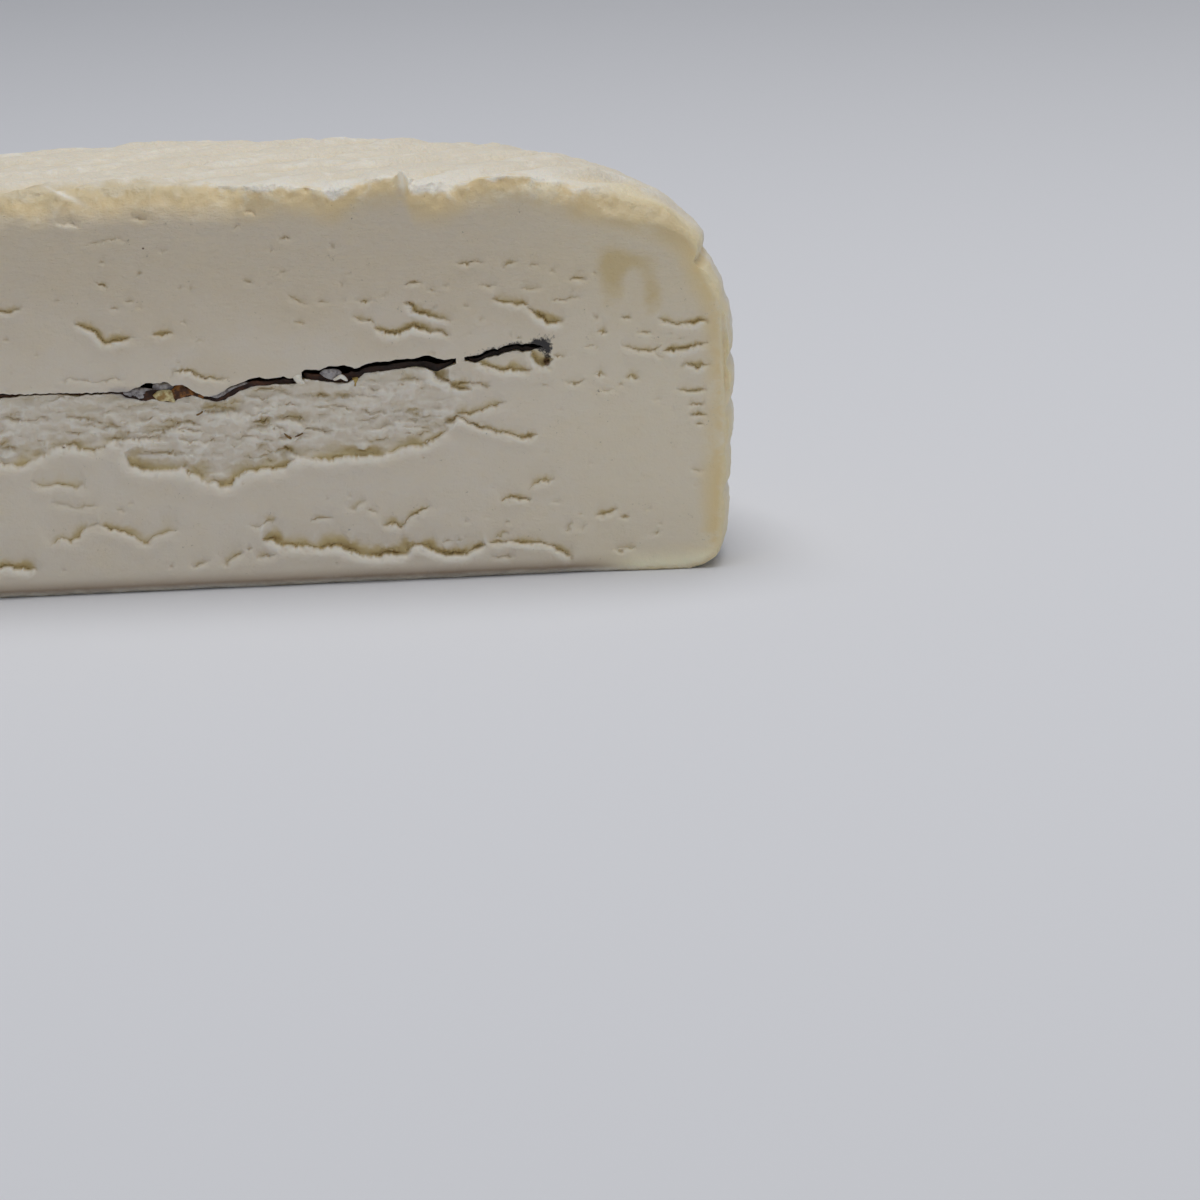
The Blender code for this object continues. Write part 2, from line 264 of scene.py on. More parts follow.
# The whole wheel as rings of one outline, closely spaced behind the cut, with a fan in the
# middle of its top and its foot. Grooves and lumps push the rings along the outline's normal.
def makeWheel():
    outline = wheelOutline(wheel["rindStep"])
    keep = np.concatenate([[True], np.linalg.norm(np.diff(outline, axis=0), axis=1) > 1e-6])
    outline = outline[keep][1:]
    foot = np.linspace(wheel["foot"] - 6, 6, 5)
    r = np.concatenate([outline[:, 0], foot])
    z = np.concatenate([outline[:, 1], np.zeros(len(foot))])
    tangent = np.gradient(np.stack([r, z], 1), axis=0)
    tangent /= np.linalg.norm(tangent, axis=1)[:, None]
    behind = math.asin(wheel["cutOffset"] / wheel["radius"]) + math.radians(4)
    dense = int(round((math.pi + 2 * behind) * wheel["radius"] / wheel["rindStep"]))
    turn = np.concatenate([
        np.linspace(-behind, math.pi + behind, dense, endpoint=False),
        np.linspace(math.pi + behind, 2 * math.pi - behind, 24, endpoint=False),
    ])
    x, y = r[:, None] * np.cos(turn), r[:, None] * np.sin(turn) + axisY
    height = np.repeat(z[:, None], len(turn), 1)
    outR, outZ = -tangent[:, 1][:, None], tangent[:, 0][:, None]
    onWall = smoothStep(wheel["shoulder"] + 8, wheel["radius"] - 4, r)[:, None] * (height > 0.4)
    lifted = height > 0.9
    push = -ribGroove(x, y, height) * onWall
    push = push + wheel["lumps"] * cloud(x / 2.1, y / 2.1, height / 1.7, 41, 3) * lifted
    push = push + 0.5 * wheel["lumps"] * cloud(x / 0.8, y / 0.8, height / 0.6, 44, 2) * lifted
    radius = r[:, None] + push * outR
    x, y = radius * np.cos(turn), radius * np.sin(turn) + axisY
    height = height + push * outZ + topLift(x, y) * (height > 0.6 * wheel["height"])
    rings = np.stack([x, y, height], -1).reshape(-1, 3)
    middle = [[0, axisY, height[0].mean()], [0, axisY, 0]]
    rows, columns = len(r), len(turn)
    column = np.arange(columns)
    after = np.roll(column, -1)
    top, last = np.full(columns, rows * columns), (rows - 1) * columns
    fans = np.stack([top, after, column, top + 1, last + column, last + after], 1)
    faces = gridFaces(rows, columns, ring=True).tolist() + fans.reshape(-1, 3).tolist()
    piece = meshPiece("cheese_half_body", np.vstack([rings, middle]), faces)
    weld(piece, 0.01)
    thinTo(piece, wheel["rindTriangles"])
    return piece


tableStep, tableFloor = 0.4, -3     # spacing and lowest height of the table below


# Distance from a point to the wheel's outer surface, positive inside. It is measured on a
# coarse grid of radius and height and read between the grid's values.
def makeInwardTable():
    outline = np.vstack([wheelOutline(0.5), [[wheel["foot"] * k, 0] for k in np.linspace(1, 0, 90)]])
    rAxis, zAxis = np.arange(0, 62, tableStep), np.arange(tableFloor, 46, tableStep)
    r, z = np.meshgrid(rAxis, zAxis)
    gap = np.hypot(r[..., None] - outline[:, 0], z[..., None] - outline[:, 1]).min(-1)
    wallR = np.interp(zAxis, outline[::-1, 1], outline[::-1, 0])[:, None]
    over = outline[:160]     # from the top's middle down past the widest part
    topZ = np.interp(rAxis, over[:, 0], over[:, 1])[None, :]
    inside = (r < wallR) & (z > 0) & ((z < topZ) | (r > over[:, 0].max()))
    return np.where(inside, gap, -gap)


inwardTable = makeInwardTable()


# A table's value between its grid points, mixed from the four round it.
def sample(table, u, v):
    u = np.clip(u, 0, table.shape[1] - 1.001)
    v = np.clip(v, 0, table.shape[0] - 1.001)
    iu, iv = u.astype(int), v.astype(int)
    fu, fv = u - iu, v - iv
    low = table[iv, iu] * (1 - fu) + table[iv, iu + 1] * fu
    high = table[iv + 1, iu] * (1 - fu) + table[iv + 1, iu + 1] * fu
    return low * (1 - fv) + high * fv


# How deep points lie under the rind, with the top's relief taken off first.
def inwardAt(x, y, z):
    z = z - topLift(x, y) * smoothStep(26, 35, z)
    return sample(inwardTable, np.hypot(x, y - axisY) / tableStep, (z - tableFloor) / tableStep)


# The cut face

face = {
    "step": 0.15 if fine else 0.34,
    "triangles": 118000 if fine else 40000,
    "tornBase": 0.45,        # depth of the torn hollow under the leaf
    "terrace": 0.16,         # height of its flakes' steps
    "flakeCount": 170,       # small ledges inside it
    "pitCount": 150,         # tiny pits all over
    "markDeep": 0.5,         # depth and softness of the small marks
    "markSoft": 0.3,
    "ledgeDeep": 0.75,       # of the depth and softness given for each ledge
    "ledgeSoft": 1.3,
    "shelf": 0.22,           # how far back the lip under a ledge starts, of the ledge's depth
    "roundWide": 1.4,        # the top's rim is this much wider and deeper at its ends
    "roundDeep": 1.3,
    "footDeep": 0.9,         # how far the face draws back at its foot
    "deepest": 3.8,
}

# Ledges and cracks in the cut face: points (x, z) from left to right, the depth at the line,
# and how softly the paste above it curves in. Those left of x = -11 continue what shows.
ledges = [
    ([(-3.9, 14.5), (-3.5, 13.3), (-3, 12.9), (-2.3, 12.45), (-1.2, 12.5), (-0.1, 12.5), (1.2, 12.5),
      (2.2, 12.9)], 1.4, 1.2),
    ([(1.6, 13), (2.2, 12), (3.3, 11.6), (3.5, 11.1), (4.3, 10.9), (5, 10.9), (5.6, 10.5), (6.1, 10.5),
      (6.5, 10.9), (6.7, 11.3), (7.8, 11.7), (9.6, 12.1), (10.5, 11.9), (12, 12.1), (12.4, 12.6),
      (13.2, 13.2)], 1.4, 1.3),
    ([(11.8, 14.5), (12.1, 13.7), (12.9, 13.5), (14, 13.1), (15.5, 12.9), (17.2, 12.7), (18.5, 12.9),
      (19.8, 12.8), (21.5, 12.9), (22.6, 13.1), (23.4, 13.5), (25.6, 13.9), (27, 14.2),
      (28.4, 15.2)], 1.3, 1),
    ([(-12, 14.9), (-10.3, 15.3), (-9.4, 15.4), (-8.4, 14.9), (-7.1, 14.6), (-6, 15), (-5.1, 15.5),
      (-3.2, 15.9)], 1, 1.1),
    ([(-27, 17), (-25.6, 15.4), (-24, 14.6), (-22.3, 14.2), (-20, 13.1), (-18.6, 13.2), (-16.5, 13.9),
      (-14.6, 13.5), (-13, 14.3), (-11.6, 14.6)], 1.3, 1.2),
    ([(36.9, 22.9), (37.1, 22), (37.7, 21.3), (38.4, 21.4), (39, 21.8)], 1.5, 0.7),
    ([(26.9, 21.6), (27.3, 20.6), (28, 20.2), (28.7, 20.2)], 1.8, 0.7),
    ([(28.3, 20.4), (28.9, 19.5), (29.8, 19.1), (31, 19.2)], 1.2, 0.6),
    ([(31.2, 22), (31.9, 21.6), (32.8, 21.4), (34.2, 20.8), (34.9, 21), (36.3, 20.7),
      (37.1, 21)], 1.2, 0.5),
    ([(28, 15.8), (28.7, 16.1), (29.3, 16.4), (29.9, 16.1), (30.5, 15.6), (32.3, 15.1), (33.8, 14.6),
      (34.9, 14.3), (35.9, 14), (37.2, 14.3)], 1.1, 0.3),
    ([(29, 16.9), (30.6, 16.6), (31.3, 16.8), (32.4, 17.2), (33.2, 17.3), (34.1, 17.8)], 0.8, 0.7),
    ([(11, 17.2), (12.2, 16.9), (13.5, 16.5), (14.1, 15.9), (15.4, 15.5), (17, 15.6)], 0.8, 0.7),
    ([(19, 14.9), (20.5, 14.2), (21.8, 14.3), (23.4, 14.6)], 0.5, 0.6),
    ([(22.4, 16.6), (25.5, 16.5), (27.8, 16.6)], 0.5, 0.6), ([(15.2, 19.2), (16.8, 19)], 0.6, 0.4),
    ([(17, 18.9), (19.1, 18.7)], 0.7, 0.4),
    ([(3.6, 18.1), (4.5, 18), (5.8, 17.9), (6.9, 18.1), (7.9, 17.8)], 0.7, 0.4),
    ([(8.2, 16.2), (9.2, 15.9), (10.5, 15.8)], 0.6, 0.6), ([(8.8, 18.5), (11, 18.3)], 0.5, 0.4),
    ([(-9.8, 18.1), (-8.6, 17.9), (-7.3, 17.8), (-5.8, 17.3)], 0.7, 0.6),
    ([(-2.6, 16.5), (-1.2, 16.3), (-0.1, 16.2), (1, 16.5), (1.9, 16.9)], 0.7, 0.6),
    ([(0.9, 21.6), (1.5, 22.2), (2.1, 22.3), (3, 22.2), (4.1, 21.6), (4.9, 21.6), (5.7, 21.3),
      (6.9, 21.5)], 0.7, 0.25),
    ([(-10.4, 22.2), (-9.3, 22), (-8.3, 22), (-7.2, 21.7), (-6.3, 21.6), (-4.7, 21.8),
      (-3.6, 21.6)], 0.35, 0.25),
    ([(-9.4, 37.7), (-8.1, 37.6), (-6.9, 37.1)], 0.6, 0.5),
    ([(-6.8, 35.1), (-5.6, 35.4), (-4.2, 35.8), (-3.4, 35.8), (-2.2, 35.2)], 0.3, 0.3),
    ([(0.2, 34.7), (1, 34.4), (1.7, 34.7)], 0.3, 0.3), ([(8.7, 31), (9.6, 30.5)], 0.7, 0.3),
    ([(-8.3, 27.6), (-6.2, 26.6), (-5.4, 25.4), (-2.3, 25.8)], 1, 0.45),
    ([(-5.9, 31.6), (-4.7, 31)], 0.8, 0.3), ([(-4.8, 28.7), (-3.6, 28.7)], 0.6, 0.3),
    ([(-3.3, 29.7), (-2.2, 29.5)], 0.6, 0.3), ([(-2.1, 29), (-1.3, 29)], 0.5, 0.3),
    ([(-0.7, 26.2), (0.4, 25.9), (1.6, 26.1)], 0.9, 0.5), ([(2.2, 27.3), (3.2, 27)], 0.5, 0.3),
    ([(3.8, 25.3), (4.7, 25.1)], 0.5, 0.25), ([(13.6, 26.6), (14.8, 26.5)], 0.6, 0.3),
    ([(12.8, 29.4), (14, 28.7), (15, 28.4)], 0.7, 0.3), ([(15.8, 28.6), (17.2, 28.5)], 0.7, 0.3),
    ([(18.1, 28.5), (19.1, 28.6)], 0.7, 0.3), ([(19.8, 28.5), (21.4, 28.6)], 0.8, 0.3),
    ([(19.2, 27.1), (20.3, 26.7), (21.7, 26.2)], 0.6, 0.5),
    ([(21.2, 25.7), (22.6, 25.1), (24, 25.2), (25.4, 25.8), (26.8, 25.2), (28.9, 24.8)], 1.2, 0.45),
    ([(24.5, 28.2), (26.2, 26.9), (27.6, 26.6), (29.3, 26.2)], 1, 0.4),
    ([(31.9, 29.5), (33.8, 29.5)], 0.7, 0.35), ([(36, 29.1), (38.4, 29)], 0.5, 0.3),
    ([(41, 29.8), (42.9, 29.7)], 0.7, 0.3), ([(33.2, 28), (35.4, 27.6), (37, 27.4)], 1, 0.4),
    ([(36.8, 27.3), (37.6, 26.3), (38.8, 25.5), (40.4, 25.6)], 1.2, 0.5),
    ([(38.9, 27.9), (42, 27.7)], 0.5, 0.25), ([(31.7, 26.2), (32.7, 26.2)], 0.6, 0.3),
    ([(39, 22.1), (40.5, 22)], 0.6, 0.3), ([(42.1, 23), (43.4, 22.9)], 0.6, 0.3),
    ([(45.8, 25.6), (47.1, 25.5)], 0.6, 0.3),
    ([(49.4, 25.5), (51.4, 24.8), (53.6, 24.9), (54.6, 24.8)], 0.9, 0.35),
    ([(47.4, 24.3), (49.2, 24)], 0.5, 0.3), ([(43.4, 24.3), (44.8, 24.4)], 0.7, 0.35),
    ([(45.8, 23.2), (47.4, 22.4), (49, 22.2), (49.9, 22.9)], 0.8, 0.35),
    ([(49.8, 22.1), (51.8, 22.2), (54.7, 22.8)], 1, 0.35), ([(51.7, 20.6), (54.6, 20.4)], 0.8, 0.35),
    ([(42.9, 20.5), (44.3, 20)], 0.8, 0.35), ([(46, 19.8), (47.7, 19.7)], 0.9, 0.45),
    ([(40, 19.5), (41.2, 19.2), (42.2, 19.5)], 0.5, 0.35), ([(51.2, 18.1), (54.4, 17.9)], 0.6, 0.3),
    ([(52.1, 16.7), (54, 16.5)], 0.7, 0.3), ([(52.3, 15.6), (54, 15.5)], 0.7, 0.35),
    ([(48.7, 17.4), (49.7, 17.2)], 0.6, 0.3), ([(52, 10), (53.8, 9.9)], 0.5, 0.3),
    ([(-13.4, 11.8), (-12, 11.4), (-10.6, 11.5), (-9.3, 11.1), (-8, 11.3)], 0.9, 0.7),
    ([(-11.6, 9.6), (-10.5, 9.4), (-9, 9), (-6.5, 9.1)], 0.45, 0.9),
    ([(-12, 5.2), (-10.9, 5.9), (-9.8, 5.6), (-9.2, 6.1), (-8.5, 6.8), (-7.4, 7.1), (-6.7, 7.2)], 0.8, 0.9),
    ([(-6.9, 7.2), (-5.4, 6.6), (-4.6, 6.3), (-3.4, 5.9), (-2.9, 5.3), (-2.3, 5), (-1.6, 5.6), (-0.3, 6.2),
      (0.9, 6.2)], 0.8, 0.8),
    ([(7.9, 6.7), (8.7, 6.2), (9.5, 6.6), (10.9, 7)], 0.5, 0.8),
    ([(14.2, 6.7), (15.1, 6.8), (16.4, 6.8)], 0.7, 0.45), ([(18.2, 7.3), (19, 8), (19.9, 8.5)], 0.6, 0.4),
    ([(19.6, 7.5), (21, 7.2)], 0.7, 0.3),
    ([(21.2, 5.9), (22.2, 5.9), (23.1, 5.8), (24.8, 6.9), (26.4, 7.6)], 0.8, 0.6),
    ([(32.9, 7.8), (34.6, 8.1), (36.2, 7.9)], 0.9, 0.35),
    ([(35.9, 8.9), (37.2, 9.6), (38.8, 9.8)], 0.8, 0.45), ([(38, 7.5), (39.1, 7.4)], 0.5, 0.3),
    ([(42.6, 5.9), (43.8, 6), (44.9, 6.5)], 0.7, 0.3), ([(39.1, 4.5), (40.4, 5.2)], 0.6, 0.3),
    ([(40.9, 4.3), (41.8, 5)], 0.5, 0.3), ([(43.9, 2.4), (46.6, 2.3)], 0.6, 0.3),
    ([(1.7, 2.4), (3, 2.8), (3.9, 3.1)], 0.6, 0.4),
    ([(5.1, 2.2), (6, 2.9), (6.9, 3.4), (7.5, 3.7)], 0.8, 0.5),
    ([(8.4, 3), (9.3, 3.1), (10.7, 3.5)], 0.9, 0.5),
    ([(9.2, 4.9), (10.7, 4.7), (11.2, 4.1), (12, 4.2), (13.5, 4), (15, 3.8), (15.8, 3.9), (17.1, 3.7),
      (18.1, 3.3), (19, 2.9), (20.1, 2.8), (21.4, 2.8), (22.9, 2.9), (24, 3.1)], 1.8, 0.95),
    ([(23.4, 3.2), (24.4, 3.7), (25.9, 3.3), (27.2, 2.5), (29.6, 2.6), (31.5, 3.3)], 1.5, 0.6),
    ([(31.6, 3.5), (33.6, 3.7), (35.7, 3.4), (37.4, 3.2), (38.9, 2.4), (40.2, 1.6)], 1.1, 0.4),
    ([(-44, 25.2), (-41, 26.2), (-38.5, 25.9), (-35, 26.6), (-33, 25.9)], 1.1, 0.45),
    ([(-37, 28.7), (-34.6, 28.9), (-32.4, 28.3)], 0.7, 0.35),
    ([(-30, 29.3), (-27.6, 28.4), (-25, 28.6)], 0.9, 0.4), ([(-22, 26.2), (-19.8, 25.8)], 0.7, 0.4),
    ([(-16.8, 29.6), (-14.9, 29), (-13.2, 29.3)], 0.7, 0.35),
    ([(-54.2, 22.6), (-51, 22.2), (-47.4, 23.3)], 0.9, 0.35), ([(-54, 25.6), (-51.4, 25.1)], 0.7, 0.3),
    ([(-54, 18.6), (-51.2, 18.9)], 0.7, 0.3), ([(-48, 15), (-44.6, 14.4)], 0.7, 0.4),
    ([(-43.2, 12.4), (-40.2, 13.6), (-37.5, 14), (-34.2, 13.3)], 0.9, 0.4),
    ([(-36, 8.4), (-33.2, 9.2), (-31, 9)], 0.8, 0.5), ([(-27, 7.6), (-23.6, 8.6)], 0.7, 0.5),
    ([(-46, 6.2), (-43.4, 5.6)], 0.6, 0.35),
    ([(-40, 3), (-34.4, 3.6), (-29, 2.9), (-24, 4), (-18.6, 3.5), (-13.4, 3)], 1.5, 0.7),
]

# Small marks in the face, all of one depth, as points (x, z).
marks = [
    [(29.7, 31.9), (31.2, 31.8), (32.8, 32)], [(34.4, 31.2), (35.1, 31.7), (36, 31.9)],
    [(36.9, 31.2), (38, 31.3)], [(39.1, 30.7), (39.8, 30.6)], [(24.5, 29.8), (25.7, 30.1), (26.6, 29.9)],
    [(27, 29.3), (27.9, 29.4)], [(28.4, 29.7), (29.4, 29.8)], [(37.5, 19.4), (38.4, 19.2)],
    [(43.6, 18.7), (44.3, 18.3), (44.8, 18.6)], [(45.2, 18.7), (45.9, 19)], [(49, 22.1), (49.9, 21.5)],
    [(52.8, 14.9), (53.8, 14.5)], [(40.8, 5.9), (41.5, 6.1)], [(44.9, 5.4), (46.2, 5.5)],
    [(48, 3.7), (49.2, 4.1)], [(29.3, 5.6), (30, 5.8)], [(27.1, 3.8), (28.3, 4.1)],
    [(32.4, 4.2), (33.8, 4.6)], [(31.9, 2.1), (34.4, 2.2)], [(43.1, 25.9), (43.9, 26)],
    [(30.1, 27.6), (31, 27.5)], [(-2.6, 17.7), (-1.8, 17.5)], [(1.3, 17.3), (2.1, 17.4)],
    [(6.5, 14.5), (7.4, 14.6)], [(-0.3, 2.8), (0.2, 2.6)], [(7.6, 3.9), (8.3, 4.2)],
    [(-5.2, 8.8), (-4.1, 8.5)], [(16.3, 2.3), (16.8, 2.4)], [(-1.9, 37.6), (-0.4, 37.6)],
    [(-1.8, 32.1), (-1.1, 32.4)], [(9.1, 38), (10.4, 37.4)], [(7.9, 36.4), (9, 36.5)],
    [(12.6, 34.9), (13.9, 35.1)], [(-5.5, 33.5), (-4.7, 33.5)], [(11, 30.8), (11.7, 30.7)],
    [(18.1, 30.4), (18.6, 30.2)], [(22.3, 29.2), (23, 29)], [(3.3, 30.5), (3.8, 30.4)],
    [(11.4, 33.8), (12, 34)], [(17.3, 34.3), (17.9, 33.9)],
]

# The lower edge of the torn hollow, and the upper and lower edge of the leaf's slot, as (x, z).
# Left of x = -10 they are a guess.
tornLine = [
    (-29, 20), (-27, 17.2), (-24, 14.8), (-20, 13.3), (-13, 14.2), (-8.5, 14.9), (-5.3, 15.5), (-3.6, 14),
    (-2.3, 12.5), (2.1, 12.6), (3.4, 11.4), (5.6, 10.5), (6.7, 11.4), (8.9, 12), (12.9, 13.2), (21, 12.9),
    (24.2, 13.7), (28.6, 15.3), (30.4, 17.2), (31.2, 20.5),
]
slotTop = [
    (-38.6, 22), (-36, 21.9), (-33.5, 21.5), (-30, 21.5), (-27, 21.7), (-24, 21.2), (-21, 20.9), (-17, 21),
    (-13.5, 20.6), (-10, 20.6), (-6.8, 20.5), (-4.2, 20.5), (-3.1, 20.5), (-2.1, 20.9), (-1.3, 21.2),
    (-0.7, 21.1), (0.1, 21.2), (0.7, 21.3), (1.2, 20.8), (2.2, 20.9), (2.7, 20.6), (3.4, 20.1), (4.3, 19.6),
    (5, 19.5), (5.8, 19.7), (6.5, 20.1), (7, 20.4), (8.3, 20.85), (9, 21.1), (9.9, 21.2), (10.5, 21.05),
    (11.6, 21.05), (12.2, 21.2), (12.8, 20.95), (13.4, 20.9), (13.9, 21.4), (14.4, 21.7), (15.1, 21.7),
    (15.7, 21.6), (16.7, 22), (18.3, 22), (18.9, 21.9), (19.3, 21.6), (20.1, 21.9), (21.6, 22.2),
    (22.7, 22.15), (23.6, 22.35), (24.6, 22.4), (25.5, 22.4), (26.2, 22.6), (26.8, 22.6), (27.7, 22.3),
    (28.3, 22.05), (29, 22.2), (29.6, 22.25), (30.2, 22.3), (31.3, 22.35), (31.9, 22.45), (32.8, 22.9),
    (33.7, 22.95), (34.8, 23.3), (35.5, 23.4), (36, 23.3), (37.5, 23.35), (38.8, 23),
]
slotBottom = [
    (-38.6, 21.8), (-36, 21.4), (-33.5, 20.9), (-30, 20.6), (-27, 20.9), (-24, 20.8), (-21, 20.5),
    (-17, 20.3), (-13.5, 20.4), (-10, 20.4), (-8.2, 20.15), (-7.7, 20.3), (-4, 20.2), (-3.6, 19.8),
    (-2.5, 19.5), (-1.6, 19.25), (-0.9, 19.5), (0.3, 19.2), (1.3, 19.1), (1.8, 19.45), (2.7, 19.6),
    (3.2, 19.8), (4.3, 19.3), (5.4, 18.95), (6.2, 19.15), (7.1, 19.65), (7.8, 20.05), (8.6, 20.3),
    (9.4, 20.5), (10.5, 20.45), (11.4, 20.6), (12.3, 20.5), (13.5, 20.5), (14.2, 21), (14.6, 20.9),
    (16.2, 20.65), (17.3, 20.5), (18.3, 20.35), (19.1, 20.65), (19.7, 20.8), (20.2, 21.2), (21.9, 21.35),
    (23, 21.45), (25.1, 21.7), (26.3, 21.55), (26.8, 21.3), (27.4, 21.1), (28.2, 21.35), (28.8, 21.65),
    (29.6, 21.95), (30.3, 22.1), (31.3, 21.8), (32.6, 22.3), (33.7, 22.5), (34.8, 22.8), (35.5, 22.9),
    (36.1, 22.7), (37.4, 22.9), (38.8, 22.7),
]


# A curve read from a short list of points, at any x.
def along(points, x):
    table = np.array(points)
    return np.interp(x, table[:, 0], table[:, 1])


# Adds one ledge to the relief, from each point's distance to its line, the side it lies on and
# how far along it is. Above the line the paste curves in, deepest at the line, partly by a steep
# fall and partly by a gentle one. Below it the face steps out to a narrow lip and rises a little
# over the cut before it falls back to it. Its ends fade out.
def addLedge(relief, xAxis, zAxis, bentX, bentZ, points, deep, soft):
    line = np.array(points, float)
    reach = 2.4 * soft + 1.6
    columns = np.flatnonzero((xAxis > line[:, 0].min() - reach) & (xAxis < line[:, 0].max() + reach))
    rows = np.flatnonzero((zAxis > line[:, 1].min() - reach) & (zAxis < line[:, 1].max() + reach))
    if not len(columns) or not len(rows):
        return
    window = np.s_[rows[0]:rows[-1] + 1, columns[0]:columns[-1] + 1]
    x, z = bentX[window], bentZ[window]
    nearest = np.full(x.shape, 1e9)
    side, place = np.zeros(x.shape), np.zeros(x.shape)
    runs = np.linalg.norm(np.diff(line, axis=0), axis=1)
    done = 0
    for start, end, run in zip(line, line[1:], runs):
        way = (end - start) / run
        t = np.clip((x - start[0]) * way[0] + (z - start[1]) * way[1], 0, run)
        offX, offZ = x - start[0] - t * way[0], z - start[1] - t * way[1]
        gap = np.hypot(offX, offZ)
        closer = gap < nearest
        nearest = np.where(closer, gap, nearest)
        side = np.where(closer, way[0] * offZ - way[1] * offX, side)
        place = np.where(closer, done + t, place)
        done += run
    taper = np.clip(np.minimum(place, done - place) / 0.9, 0, 1) ** 0.6
    uneven = 1 + 0.45 * noise(x / 1.3, z / 1.3, 0, 62)
    steep = np.exp(-(nearest / (0.12 + 0.4 * soft)) ** 1.2)
    gentle = np.exp(-(nearest / (1.6 * soft)) ** 1.4)
    above = deep * (0.4 * steep + 0.6 * gentle) * uneven
    lip = face["shelf"] * deep * np.exp(-(nearest / (0.1 + 0.12 * soft)) ** 1.2)
    rise = -0.25 * min(deep, 1.0) * bell(nearest, 0.35 + 0.3 * soft, 0.3 + 0.35 * soft)
    below = lip + rise
    relief[window] += taper * (below + (above - below) * smoothStep(-0.08, 0.04, side))


# How far the face lies behind the flat cut, for every point of a grid: slow and fine noise, the
# torn hollow, flakes, pits, marks and ledges, and a rim that curves back. Also where it is torn.
def faceRelief(xAxis, zAxis):
    x, z = np.meshgrid(xAxis, zAxis)
    bentX = x + 0.3 * cloud(x / 1.1, z / 1.1, 0, 51, 3)
    bentZ = z + 0.24 * cloud(x / 0.9, z / 0.9, 0, 52, 2) + 0.34 * np.abs(cloud(x / 0.5, z / 0.5, 0, 53, 2))
    relief = 0.13 * cloud(x / 9, z / 7, 0, 54, 2) + 0.035 * cloud(x / 1.9, z / 1.0, 0, 55, 3)
    slotMiddle = (along(slotTop, x) + along(slotBottom, x)) / 2
    # the torn hollow: flakes as terraces of stretched noise
    torn = smoothStep(-0.1, 0.5, bentZ - along(tornLine, x))
    torn = torn * smoothStep(0.2, -0.3, bentZ - slotMiddle)
    torn = torn * smoothStep(-29, -24, x) * smoothStep(31.5, 28, x)
    sheets = 0.52 * cloud(x / 2.6, bentZ / 0.95, 0, 56, 3)
    level = sheets / face["terrace"]
    sheets = face["terrace"] * (np.floor(level) + smoothStep(0.45, 1, level - np.floor(level)))
    crumb = 0.17 * cloud(x / 0.8, z / 0.5, 0, 57, 3)
    relief += torn * (face["tornBase"] + sheets + crumb)
    draw = np.random.default_rng(7)
    for _ in range(face["flakeCount"]):
        startX, startZ = draw.uniform(-28, 30), draw.uniform(12.5, 20.5)
        length, rise = draw.uniform(1.2, 4.5), draw.uniform(-0.5, 0.5)
        deep, soft = draw.uniform(0.15, 0.5), draw.uniform(0.25, 0.6)
        middle = (startX + length / 2, startZ + rise / 2 + draw.uniform(-0.4, 0.4))
        if startZ > along(tornLine, startX) + 0.8 and startZ < along(slotBottom, startX) - 0.5:
            points = [(startX, startZ), middle, (startX + length, startZ + rise)]
            addLedge(relief, xAxis, zAxis, bentX, bentZ, points, deep, soft)
    for _ in range(face["pitCount"]):
        startX, startZ = draw.uniform(-54, 54), draw.uniform(2, 32)
        length, rise, deep = draw.uniform(0.25, 0.9), draw.uniform(-0.25, 0.25), draw.uniform(0.15, 0.5)
        points = [(startX, startZ), (startX + length, startZ + rise)]
        addLedge(relief, xAxis, zAxis, x, z, points, deep, 0.24)
    for points in marks:
        addLedge(relief, xAxis, zAxis, bentX, bentZ, points, face["markDeep"], face["markSoft"])
    for points, deep, soft in ledges:
        deep, soft = face["ledgeDeep"] * deep, face["ledgeSoft"] * soft
        addLedge(relief, xAxis, zAxis, bentX, bentZ, points, deep, soft)
    # the rim curves back towards the rind, most along the top and at its two ends
    inward = inwardAt(x, cutY, z)
    onTop = smoothStep(33, 38, z)
    rounder = onTop * (smoothStep(13, 4, x) + 0.6 * smoothStep(38, 52, x))
    wide = 0.5 + onTop * (2.3 + 1.3 * cloud(x / 2.2, z / 3.5, 0, 58, 3)) + rounder * face["roundWide"]
    rim = np.clip(1 - inward / np.maximum(wide, 0.4), 0, 1.3)
    fall = (0.35 + 0.75 * onTop) * rim ** (1.6 + 0.7 * onTop)
    relief += fall * (0.9 + 0.5 * cloud(x / 1.4, z / 1.8, 0, 59, 3))
    relief += rounder * face["roundDeep"] * rim ** 2
    relief += 0.16 * onTop * bell(inward, 0.7, 1.3) * cloud(x / 0.7, z / 0.6, 0, 63, 3)
    foot = np.clip(1 - z / 2.4, 0, 1) ** 2 * smoothStep(50, 38, np.abs(x))
    relief += face["footDeep"] * foot
    return np.clip(relief, -0.3, face["deepest"]), torn


# Two like grids, one over the other, closed round their edges into one body. Grids of rings are
# closed round their last ring, and their first one is filled.
def slab(name, upper, lower, ring=False, joinWithin=0.002):
    rows, columns = upper.shape[:2]
    count = rows * columns
    faces = gridFaces(rows, columns, ring).tolist()
    faces += gridFaces(rows, columns, ring, count)[:, ::-1].tolist()
    index = np.arange(count).reshape(rows, columns)
    loop = np.concatenate([index[0], index[1:, -1], index[-1, -2::-1], index[-2:0:-1, 0]])
    if ring:
        loop = index[-1, ::-1]
    after = np.roll(loop, -1)
    faces += np.stack([after, loop, loop + count, after + count], 1).tolist()
    if ring:
        faces += [index[0].tolist(), (index[0] + count).tolist()]
    piece = meshPiece(name, np.vstack([upper.reshape(-1, 3), lower.reshape(-1, 3)]), faces)
    weld(piece, joinWithin)
    return piece


